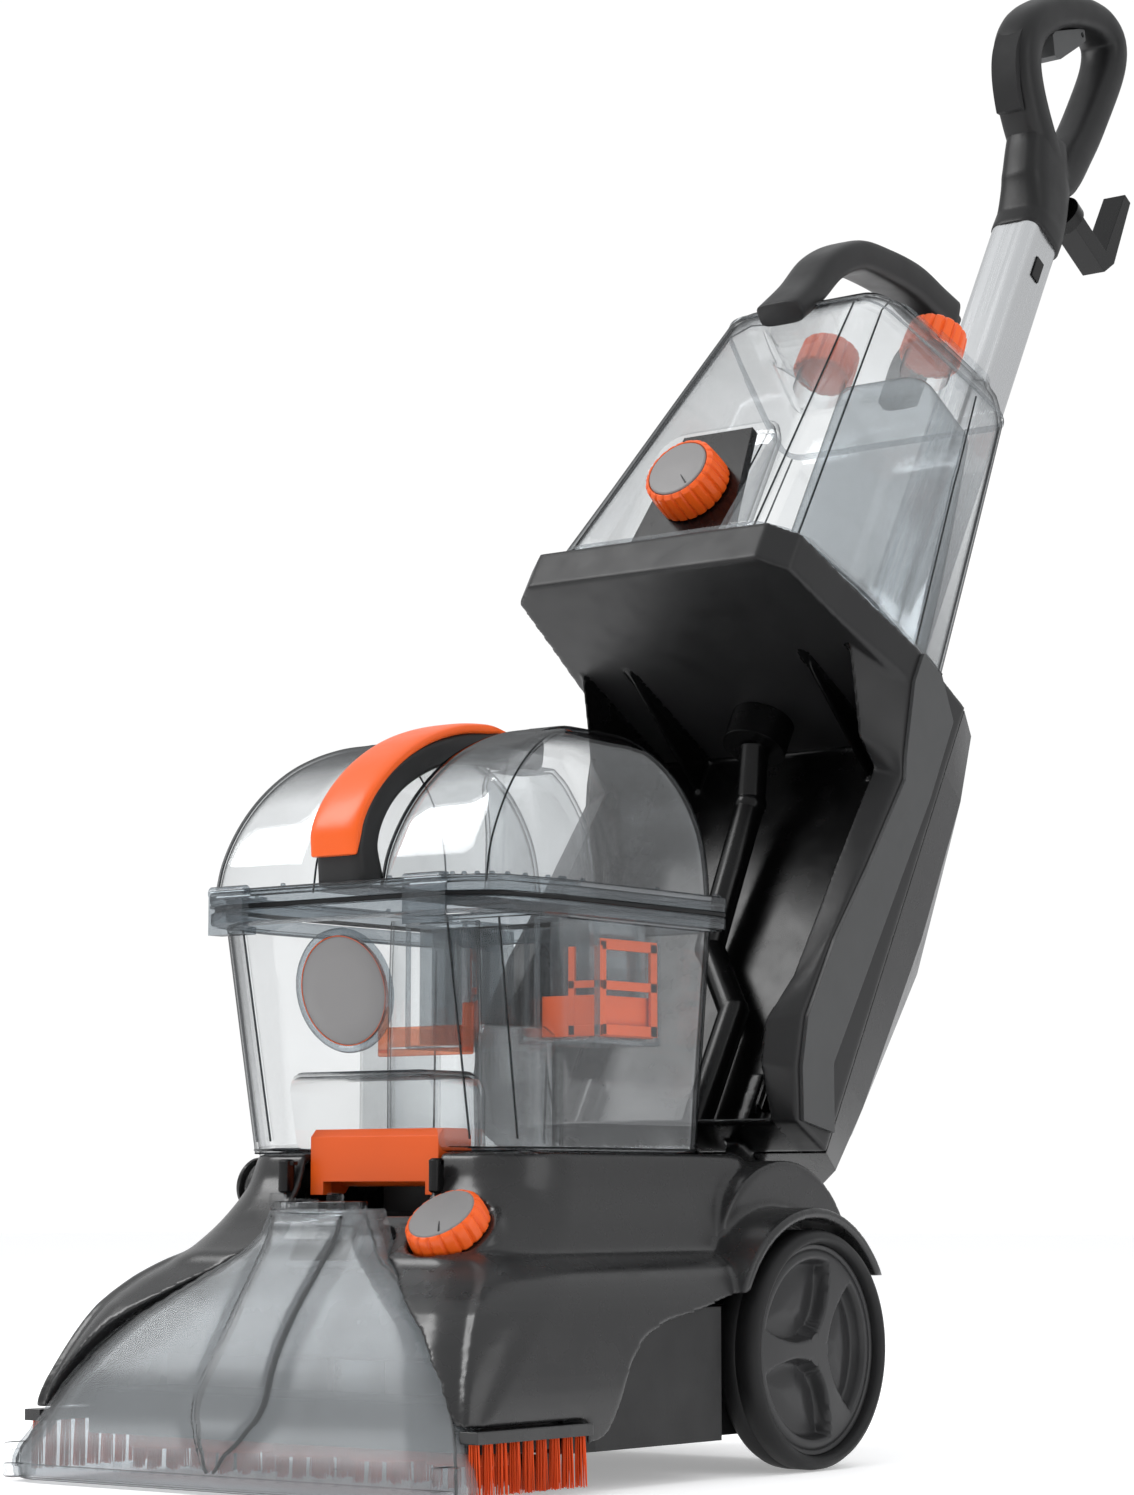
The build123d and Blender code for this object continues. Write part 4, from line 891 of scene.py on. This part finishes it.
# ---------------------------------------------------------------- lid handle
HANDLE = [(100, 315), (97.5, 334), (104.5, 353), (121, 371), (147, 385), (176, 393.5), (205, 397), (234, 397.5), (246, 396.5)]
path = smooth_line([W(0, y, z) for y, z in HANDLE], 70)
bm = bmesh.new()
sweep(bm, path, X, [(0, 16.5), (0.12, 15.6), (0.5, 15.2), (1, 15.2)],
      [(0, 11), (0.1, 9.0), (0.5, 8.4), (0.85, 9.0), (1, 9.6)], e=5, n=32)
finish_mesh(bm, "lid_handle_core_arch", M["shell_grey"], "tank_lid", ["lid_handle_core"])
GRIP = [(86.4, 330), (89.5, 347), (101, 364.5), (120, 381.5), (145, 395.5), (174, 404.5), (200, 407), (214, 406.6)]
path = smooth_line([W(0, y, z - 1.2) for y, z in GRIP], 64)
bm = bmesh.new()
sweep(bm, path, X, [(0, 16.0), (0.06, 17.2), (0.6, 16.8), (0.92, 16.4), (1, 14.0)],
      [(0, 1.6), (0.06, 3.4), (0.9, 3.4), (1, 1.4)], e=3.4, n=32)
finish_mesh(bm, "lid_handle_orange_grip", M["orange"], "tank_lid", ["lid_handle_grip"])

# ---------------------------------------------------------------- clean water tank
CT = [(402, [(70, -184), (92, -170), (104, -115), (108, -50), (100, -4)]),
      (625, [(48, -143), (60, -130), (68, -100), (82, -40), (88, -4)]),
      (642, [(45, -131), (56, -121), (62, -98), (75, -40), (81, -7)]),
      (651, [(40, -119), (49, -110), (54, -93), (66, -40), (71, -13)])]
CR = [18, 22, 40, 40, 12]


def ct_half(u):
    for (a, p), (b, q) in zip(CT, CT[1:]):
        if u <= b:
            return blend(p, q, (u - a) / (b - a))
    return CT[-1][1]


def clean_ring(u, grow=0.0, shape=None):
    return tank_ring(ct_half(shape or u), CR, u, grow, L, 5)


bm = bmesh.new()
bridge(bm, [clean_ring(402, -5), clean_ring(402.8, -1.5, 402), clean_ring(405, -0.2)]
       + [clean_ring(405 + (622 - 405) * i / 18) for i in range(1, 19)]
       + [clean_ring(u, g) for u, g in ((630, 0), (637, -0.4), (643, -1.2), (647, -2.2), (649.6, -4.2), (650.4, -7.5))])
ct = finish_mesh(bm, "clean_tank_wall", M["clear"], "clean_tank", ["clean_tank"])
boolean(ct, lambda bm: pocket(bm, ((-230, 0), (-164, 0), (-159.5, 1.4), (-158, 5)), 43, 380, 506, 14, 6, 4, L))
hollow(ct)

# seam ribs round the tank
bm = bmesh.new()
for u, g in ((405, 0.2), (625, 0.5)):
    bridge(bm, [clean_ring(u, g), clean_ring(u + 3, g), clean_ring(u + 3, g - 2.4), clean_ring(u, g - 2.4)], loop=True)
finish_mesh(bm, "clean_tank_seams", M["smoke_clear"], "clean_tank")

# solution tank inside, with a domed top
bm = bmesh.new()
rings = [placed(rect(8, x1, -88, b1, [8, 16, 12, 6], 6, 5), u, L) for u, x1, b1 in
         ((408, 94, -14), (500, 86, -15), (600, 74, -16))]
topc = sum(rings[-1], Vector()) / len(rings[-1])
rings = between(rings, 6)
rings += [[topc + (p - topc) * k + UP * (d * MM) for p in rings[-1]] for k, d in ((0.97, 3), (0.9, 6), (0.78, 8.5), (0.6, 10))]
bridge(bm, rings)
finish_mesh(bm, "solution_tank_inner", M["grey_clear"], "clean_tank", ["solution_tank"])

# necks under the two caps
bm = bmesh.new()
for s in SIDES:
    c = L(s * 42, -50, 0)
    lathe(bm, [(13.5, 640), (16.5, 640), (16.5, 652), (18.2, 653), (16.5, 654), (16.3, 667), (13.5, 667)], c, UP, n=40)
    for k in range(3):
        lathe(bm, [(16.4, 656.5 + 3.2 * k), (17.3, 657.3 + 3.2 * k), (16.4, 658.1 + 3.2 * k)], c, UP, n=40)
finish_mesh(bm, "clean_tank_necks", M["clear"], "clean_tank")

# ---------------------------------------------------------------- painted dark lines: the refraction shade that thick clear walls show at corners


def corner_line(bm, rings, target, inset, r=0.55):
    """A thin line of painted refraction shade just inside the wall, along the ring points nearest to one corner."""
    mid = len(rings) // 2
    k = min(range(len(rings[mid])), key=lambda i: (rings[mid][i] - target[mid]).length)
    line = []
    for ring in rings:
        c = sum(ring, Vector()) / len(ring)
        line.append(ring[k] + (c - ring[k]).normalized() * (inset * MM))
    sweep(bm, line, X, r, r, e=2.2, n=8)


def closed_line(bm, ring, inset, r=0.55):
    c = sum(ring, Vector()) / len(ring)
    line = [q + (c - q).normalized() * (inset * MM) for q in ring]
    rings = []
    m = len(line)
    for i, q in enumerate(line):
        t = (line[(i + 1) % m] - line[i - 1])
        if t.length < 1e-7:
            continue
        t.normalize()
        n = t.cross(UP if abs(t.dot(UP)) < 0.9 else X).normalized()
        k = t.cross(n)
        rings.append([q + (n * math.cos(a) + k * math.sin(a)) * (r * MM) for a in turns(8)])
    bridge(bm, rings, loop=True)


def tank_lines(bm, heights, ring_at, half_at, corners, to, inset, r):
    rows = [ring_at(z) for z in heights]
    for s in SIDES:
        for k in corners:
            corner_line(bm, rows, [to(s * half_at(z)[k][0], half_at(z)[k][1], z) for z in heights], inset, r)


bm = bmesh.new()
tank_lines(bm, [179 + 112 * i / 12 for i in range(13)], dirty_ring, tank_half, (0, 1, 3), W, 1.6, 0.6)
# the line round the foot stops where the release lever sits
foot = dirty_ring(173.4, -1.8, 173)
free = [not (abs(q.x) < 0.053 and q.y < -0.32) for q in foot]
start = next(i for i in range(len(foot)) if free[i] and not free[i - 1])
run = [foot[(start + i) % len(foot)] for i in range(len(foot)) if free[(start + i) % len(foot)]]
run = [q for i, q in enumerate(run) if i == 0 or (q - run[i - 1]).length > 1e-4]
sweep(bm, run, UPRIGHT, 0.5, 0.5, e=2.2, n=8)
finish_mesh(bm, "dirty_tank_corner_lines", M["painted_edge_shade"], "dirty_tank", angle=80)
bm = bmesh.new()
fine = between([[Vector(r[:3]), Vector(r[3:])] for r in DOME], 5)
for s in SIDES:
    flat = [(*a, *b) for a, b in fine]
    rows = [dome_ring(r, s) for r in flat]
    for cx, cy in ((2, 3), (1, 3), (2, 4)):
        corner_line(bm, rows, [W(s * r[cx], r[cy], r[0]) for r in flat], 1.5, 0.55)
    closed_line(bm, rows[-1], 1.2, 0.4)
finish_mesh(bm, "lid_dome_corner_lines", M["painted_edge_shade"], "tank_lid", angle=80)
bm = bmesh.new()
tank_lines(bm, [407 + 215 * i / 14 for i in range(15)], clean_ring, ct_half, (0, 1, 3, 4), L, 1.6, 0.6)
tank_lines(bm, [625, 630, 636, 642, 646, 649], clean_ring, ct_half, (0, 1), L, 2.0, 0.5)
closed_line(bm, clean_ring(404), 1.8, 0.5)
finish_mesh(bm, "clean_tank_corner_lines", M["painted_edge_shade"], "clean_tank", angle=80)
# painted refraction shade lines along the nozzle cover's sides
bm = bmesh.new()
for s in SIDES:
    zs = [8 + 130 * i / 49 for i in range(50)]
    sweep(bm, [W(s * (width_at(WIDE_LINE, z) + 0.2), profile_at(z).y + 9.0, z) for z in zs], X, 0.8, 0.8, e=2.2, n=8)
finish_mesh(bm, "nozzle_side_lines", M["painted_edge_shade"], "base", angle=80)
bm = bmesh.new()
for s in SIDES:
    block(bm, (min(s * 49.5, s * 56.5), 106, 150), (max(s * 49.5, s * 55.5), 113, 168), r=1.0)
    block(bm, (min(s * 47.5, s * 56.5), 108.5, 166), (max(s * 47.5, s * 55.5), 113, 165.5), r=0.8)
finish_mesh(bm, "lever_posts", M["inner_black"], "base")

# ---------------------------------------------------------------- caps, knobs and dial: scalloped mouldings


def knob(body, centre, axis, r, a0, a1, teeth, disc=None, depth=1.3):
    bm = bmesh.new()
    h = a1 - a0
    prof = [(r * 0.55, a0), (r - 1.2, a0), (r, a0 + 1.2), (r, a0 + h * 0.35), (r - 0.2, a0 + h * 0.6), (r - 0.8, a1 - 2.0),
            (r - 2.0, a1 - 0.6), (r - 3.4, a1), (r - 4.0, a1 - 0.4), (r - 4.2, a1 - 2.2), (3.0, a1 - 2.2)]
    lathe(bm, prof, centre, axis, n=teeth * 10,
          wave=lambda t, q: -depth * max(0.0, math.cos(teeth * t)) ** 3 if q > r - 2.6 else 0)
    finish_mesh(bm, body + "_ribbed", M["orange"], body, [body])
    if disc:
        bm = bmesh.new()
        top = a1 + 0.5
        lathe(bm, [(disc * 0.3, a1 - 3), (disc, a1 - 3), (disc, a1 - 0.2), (disc - 0.7, top), (disc * 0.6, top + 0.5),
                   (disc * 0.2, top + 1.0)], centre, axis, n=96)
        finish_mesh(bm, body + "_ribbed_disc", M["disc_grey"], body)


DIAL_AT = L(0, 0, 453)
knob("mode_knob", KNOB_AT, KNOB_AXIS, 22, 0.5, 14.2, 18, disc=18.4)
knob("mix_dial", DIAL_AT, -BACK, 24.5, 168.4, 190.6, 22, disc=20.0)
knob("solution_cap", L(42, -50, 0), UP, 20.5, 653.5, 677.5, 16, depth=1.6)
knob("water_cap", L(-42, -50, 0), UP, 20.5, 653.5, 677.5, 16, depth=1.6)

# pointer marks on the knob and the dial
for body, c, ax, a, r, turn in (("mode_knob", KNOB_AT, KNOB_AXIS, 14.9, 18.4, 0.5),
                                ("mix_dial", DIAL_AT, -BACK, 191.3, 20.0, 0.7)):
    up_v = ax.cross(X).normalized()
    ray = (up_v * -math.cos(turn) + X * math.sin(turn)).normalized()
    across = ax.cross(ray).normalized()
    bm = bmesh.new()
    rings = []
    for h, k in ((-0.4, 1.0), (0.32, 1.0), (0.5, 0.6)):
        half = across * (0.45 * k)
        pts = [ray * (r * 0.42) + half, ray * (r * 0.88) + half, ray * (r * 0.88) - half, ray * (r * 0.42) - half]
        rings.append([c + ax * ((a + h) * MM) + q * MM for q in pts])
    bridge(bm, rings)
    finish_mesh(bm, body + "_mark", M["hub_grey"], body)

# badge: plain domed disc in a clear ring with a thin orange line
BADGE_AXIS = Vector((0, -0.9825, -0.186)).normalized()
b0, b1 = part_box("badge")
bc = (Vector(b0) + Vector(b1)) / 2
br = (b1[0] - b0[0]) / 2 / MM
bm = bmesh.new()
lathe(bm, [(2, -1.2), (br - 0.4, -1.2), (br, -0.6), (br, 1.0), (br - 0.9, 1.7), (br * 0.6, 2.5), (2, 2.8)],
      bc, BADGE_AXIS, n=96)
finish_mesh(bm, "badge_disc", M["disc_grey"], "dirty_tank", ["badge"])
badge_up = BADGE_AXIS.cross(X).normalized()
for profile, name, mat, slot in (
        (((0.5, -1.0), (0.5, 1.6), (1.6, 2.5), (3.4, 2.3), (4.4, 0.8), (4.4, -1.0)), "badge_ring", "flange_clear", "clear"),
        (((0.05, -1.0), (0.05, 1.3), (0.45, 1.3), (0.45, -1.0)), "badge_orange_line", "orange", "orange")):
    bm = bmesh.new()
    bridge(bm, [[bc + BADGE_AXIS * (h * MM) + (X * math.cos(t) + badge_up * math.sin(t)) * ((br + q) * MM)
                 for t in turns(96)] for q, h in profile], loop=True)
    finish_mesh(bm, name, M[mat], "dirty_tank")

# hose port flap hugging its boss
bm = bmesh.new()
lathe(bm, [(2, 0.2), (12.8, 0.2), (14.2, 1.0), (14.4, 2.6), (13.2, 4.0), (9, 4.7), (2, 5.0)],
      HOSE_AT, HOSE_AXIS, n=64)
block(bm, (-118, 144, 140.5), (-113, 156, 145), r=1.0)
finish_mesh(bm, "hose_port_flap", M["hood_grey"], "hose_door", ["hose_port_door"])

# ---------------------------------------------------------------- wheels
def wheel_ring(c, ax, along, r, n):
    return [c + ax * (along * MM) + Vector((0, math.cos(t), math.sin(t))) * (r * MM) for t in turns(n)]


def hub_depth(r, t):
    """How far out the hub's face is, with three pockets between its spokes and a groove near the rim."""
    third = math.radians(60)
    phi = ((t - third) % math.radians(120)) - third
    gap = r * math.sin(max(third - abs(phi), 0.0))
    half_spoke = 3.0 + 9.5 * (r / 50) ** 3 + 7.0 * max(0.0, 1 - r / 22) ** 1.5
    inside = min(gap - half_spoke, 49.5 - r, r - 9)
    crown = 149.6 - 2.6 * (r / 57) ** 2
    groove = 1.0 * (smoothstep(53.2, 54.2, r) - smoothstep(54.8, 55.4, r))
    deep = 8.5 * smoothstep(0.0, 3.2, inside) - 2.2 * smoothstep(5, 17, inside)
    return crown - deep - groove


TYRE = [(57.2, 126), (60.5, 125.4), (63.2, 126.6), (64.6, 129.4), (65.0, 133), (65.0, 138.4), (64.5, 139), (65.0, 139.6),
        (65.0, 146), (64.4, 149.6), (62.6, 152.2), (60.2, 152.9), (58.6, 152.0), (57.4, 150.0), (57.2, 146)]
HUB = ([0.01, 3, 6, 9] + list(range(11, 42, 2)) + list(range(42, 53)) + [53.5, 54.5, 55.2, 56.2, 56.9])
HUB_SEGMENTS = 240
for s, side in ((-1, "left"), (1, "right")):
    c = W(0, WHEEL_Y, WHEEL_Z)
    ax = Vector((s, 0, 0))
    bm = bmesh.new()
    bridge(bm, [wheel_ring(c, ax, a, r, 120) for r, a in TYRE], loop=True)
    finish_mesh(bm, "tyre_%s_rubber" % side, M["tyre_black"], "wheel_" + side, ["tyre_" + side], angle=50)
    bm = bmesh.new()
    rows = [[c + ax * (hub_depth(r, t) * MM) + Vector((0, math.cos(t), math.sin(t))) * (r * MM)
             for t in turns(HUB_SEGMENTS)] for r in HUB]
    rows += [wheel_ring(c, ax, a, r, HUB_SEGMENTS) for a, r in ((146, 57.0), (127.2, 57.0), (127.0, 12.0), (119.6, 11.6))]
    bridge(bm, rows)
    finish_mesh(bm, "hub_%s_spoked" % side, M["hub_grey"], "wheel_" + side, ["hub_" + side], angle=50)

# ---------------------------------------------------------------- bristles


def hairs(bm, foot, tip, r_foot, r_tip, count):
    """A tuft of separate tapering bristles between two discs."""
    axis = (tip - foot)
    ax = axis.normalized()
    x = Vector((1, 0, 0)) if abs(ax.x) < 0.9 else Vector((0, 1, 0))
    x = (x - ax * x.dot(ax)).normalized()
    y = ax.cross(x)
    for i in range(count):
        f = math.sqrt((i + 0.5) / count)
        a = i * 2.39996 + rnd.uniform(-0.3, 0.3)
        d = x * math.cos(a) + y * math.sin(a)
        p0 = foot + d * (f * r_foot * MM)
        p1 = tip + d * (f * r_tip * MM) + ax * (rnd.uniform(-1.1, 0.0) * MM)
        p1 = p1 + x * rnd.uniform(-.3, .3) * MM + y * rnd.uniform(-.3, .3) * MM
        r0, r1 = 0.42 * MM, 0.26 * MM
        rings = []
        for p, r in ((p0, r0), (p0.lerp(p1, 0.55) + d * 0.12 * MM, r0 * 0.9), (p1, r1)):
            rings.append([p + (x * math.cos(q * math.pi / 2.5) + y * math.sin(q * math.pi / 2.5)) * r for q in range(5)])
        bridge(bm, rings)


bm = bmesh.new()
for s in SIDES:
    for k in range(9):
        y = 22 + 10.4 * k
        hairs(bm, W(s * 150.3, y, 30), W(s * 150.8, y, 4.4), 2.6, 3.3, 22)
finish_mesh(bm, "edge_brush_bristles", M["orange_bristle"], "base", ["edge_brush_tufts"], angle=80)

for k in range(1, 6):
    cx = (k - 3) * 52
    bm = bmesh.new()
    lathe(bm, [(4, 15.6), (21.2, 15.6), (22.4, 16.8), (22.4, 20.8), (21.4, 22), (8, 22.4), (8, 33), (4, 33)],
          W(cx, 76, 0), UPRIGHT, n=60)
    for n, r in ((9, 17.5), (4, 7)):
        for i in range(n):
            a = 2 * math.pi * i / n + (0.0 if n == 9 else math.pi / 4)
            x, y = cx + r * math.cos(a), 76 + r * math.sin(a)
            hairs(bm, W(x, y, 17), W(x + 0.5 * math.cos(a), y + 0.5 * math.sin(a), 4.2), 2.2, 2.6, 12)
    gear = [(26 + 1.9 * max(-1, min(1, 1.8 * math.cos(20 * t))) - 0.6, t) for t in turns(160)]
    bridge(bm, [[W(cx + q * k0 * math.cos(t), 76 + q * k0 * math.sin(t), z) for q, t in gear]
                for z, k0 in ((34.2, 0.97), (34.8, 1), (40.2, 1), (40.8, 0.97))])
    finish_mesh(bm, "brush_%d_bristles" % k, M["orange_bristle"], "brush_%d" % k, ["brush_%d" % k], angle=60)

# ---------------------------------------------------------------- body handle of the clean tank
HP = [(-153, 612), (-141, 640), (-131, 670), (-112, 696), (-84, 713), (-52, 727), (-24, 733), (-6, 737)]
path = smooth_line([L(0, b, u) for b, u in HP], 60)
bm = bmesh.new()
sweep(bm, path, X, [(0, 16.8), (0.15, 16), (0.6, 15.5), (1, 16.5)], [(0, 8.0), (0.3, 10.0), (0.75, 12.0), (1, 12.0)], e=4.2, n=32)
HP2 = [(-6, 737), (-7, 715), (-16, 690), (-17, 665), (-17, 652)]
path = smooth_line([L(0, b, u) for b, u in HP2], 30)
sweep(bm, path, X, [(0, 15.5), (1, 14.0)], [(0, 9.0), (0.4, 7.0), (1, 6.6)], e=4.2, n=32)
finish_mesh(bm, "clean_tank_carry_handle", M["shell_grey"], "clean_tank", ["clean_tank_handle"])

# ---------------------------------------------------------------- loop grip
RINGC = [(62, 924), (28, 936), (-2, 956), (-17, 976), (-18, 1002), (-2, 1032), (24, 1058), (50, 1074), (70, 1074),
         (79, 1056), (79, 1020), (74, 968)]
path = smooth_line([L(0, b, u) for b, u in RINGC], 110, closed=True)
bm = bmesh.new()
sweep(bm, path, X, 16.6, [(0, 13.5), (0.12, 14.5), (0.3, 14), (0.45, 13), (0.62, 12.5), (0.8, 12.2), (1, 13.5)],
      e=2.9, loop=True)
STEM = [(56, 862), (56, 880), (50, 904), (40, 926), (34, 940)]
path = smooth_line([L(0, b, u) for b, u in STEM], 30)
sweep(bm, path, X, [(0, 21.5), (0.15, 21.5), (0.5, 18.5), (1, 16.0)], [(0, 22.5), (0.2, 22.5), (0.6, 28), (1, 24)], e=3.4, n=32)
finish_mesh(bm, "loop_grip", M["tub_black"], "body", ["grip_left", "grip_right"])

# ---------------------------------------------------------------- stage, light, camera
bm = bmesh.new()
grid(bm, [[Vector((-9 + 18 * i / 20, -4 + 14 * (j / 40), -0.0004)) for i in range(21)] for j in range(41)])
floor = mesh_object(bm, "floor")
fm, nt, p = new_mat("floor_paper")
paper = add(nt, "TexNoise", {"Scale": 60}).outputs["Fac"]
bump = add(nt, "Bump", {"Strength": 0.02, "Height": paper}).outputs["Normal"]
feed(nt, p, {"Base Color": (0.93, 0.93, 0.935, 1), "Roughness": 0.8, "Specular IOR Level": 0.1,
             "Emission Color": (1, 1, 1, 1), "Emission Strength": 0.30, "Normal": bump})
floor.data.materials.append(fm)

# the camera sees white, everything else a soft grey sky
world = bpy.data.worlds.new("studio")
bpy.context.scene.world = world
world.use_nodes = True
nt = world.node_tree
height = add(nt, "SeparateXYZ", {0: add(nt, "TexCoord").outputs["Generated"]}).outputs["Z"]
grey = ramp_of(nt, height, (0.0, (0.62, 0.62, 0.63)), (1.0, (0.78, 0.79, 0.80)), (0.3, (0.66, 0.665, 0.67)))
seen = add(nt, "LightPath").outputs["Is Camera Ray"]
sky = add(nt, "Mix", {0: seen, 6: grey, 7: (1.0, 1.0, 1.0, 1)}, data_type="RGBA").outputs[2]
feed(nt, nt.nodes["Background"], {"Color": sky, "Strength": 1.02})


def area(name, loc, target, size, power):
    d = bpy.data.lights.new(name, "AREA")
    d.shape = "RECTANGLE"
    d.size, d.size_y = size
    d.energy = power
    o = bpy.data.objects.new(name, d)
    o.location = loc
    o.rotation_euler = (Vector(target) - Vector(loc)).to_track_quat("-Z", "Y").to_euler()
    bpy.context.scene.collection.objects.link(o)
    return o


area("key", (-1.7, -1.5, 2.3), (0, 0, 0.3), (1.1, 1.7), 42)
area("side", (2.6, -0.2, 1.2), (0, 0, 0.4), (1.4, 2.4), 14)
top = area("top", (0.2, 0.5, 2.8), (0, 0, 0.3), (2.4, 2.4), 30)
top.visible_glossy = False

cam_data = bpy.data.cameras.new("camera")
cam_data.lens = 85.5
cam_data.sensor_width = 36
cam_data.clip_end = 60
cam = bpy.data.objects.new("camera", cam_data)
cam.location = (1.2528, -1.7945, 0.149)
cam.rotation_euler = (math.radians(97.18), 0, math.radians(37.97))
bpy.context.scene.collection.objects.link(cam)
bpy.context.scene.camera = cam
bpy.context.scene.view_settings.view_transform = "Standard"
bpy.context.scene.cycles.transparent_max_bounces = 64
bpy.context.scene.cycles.max_bounces = 14
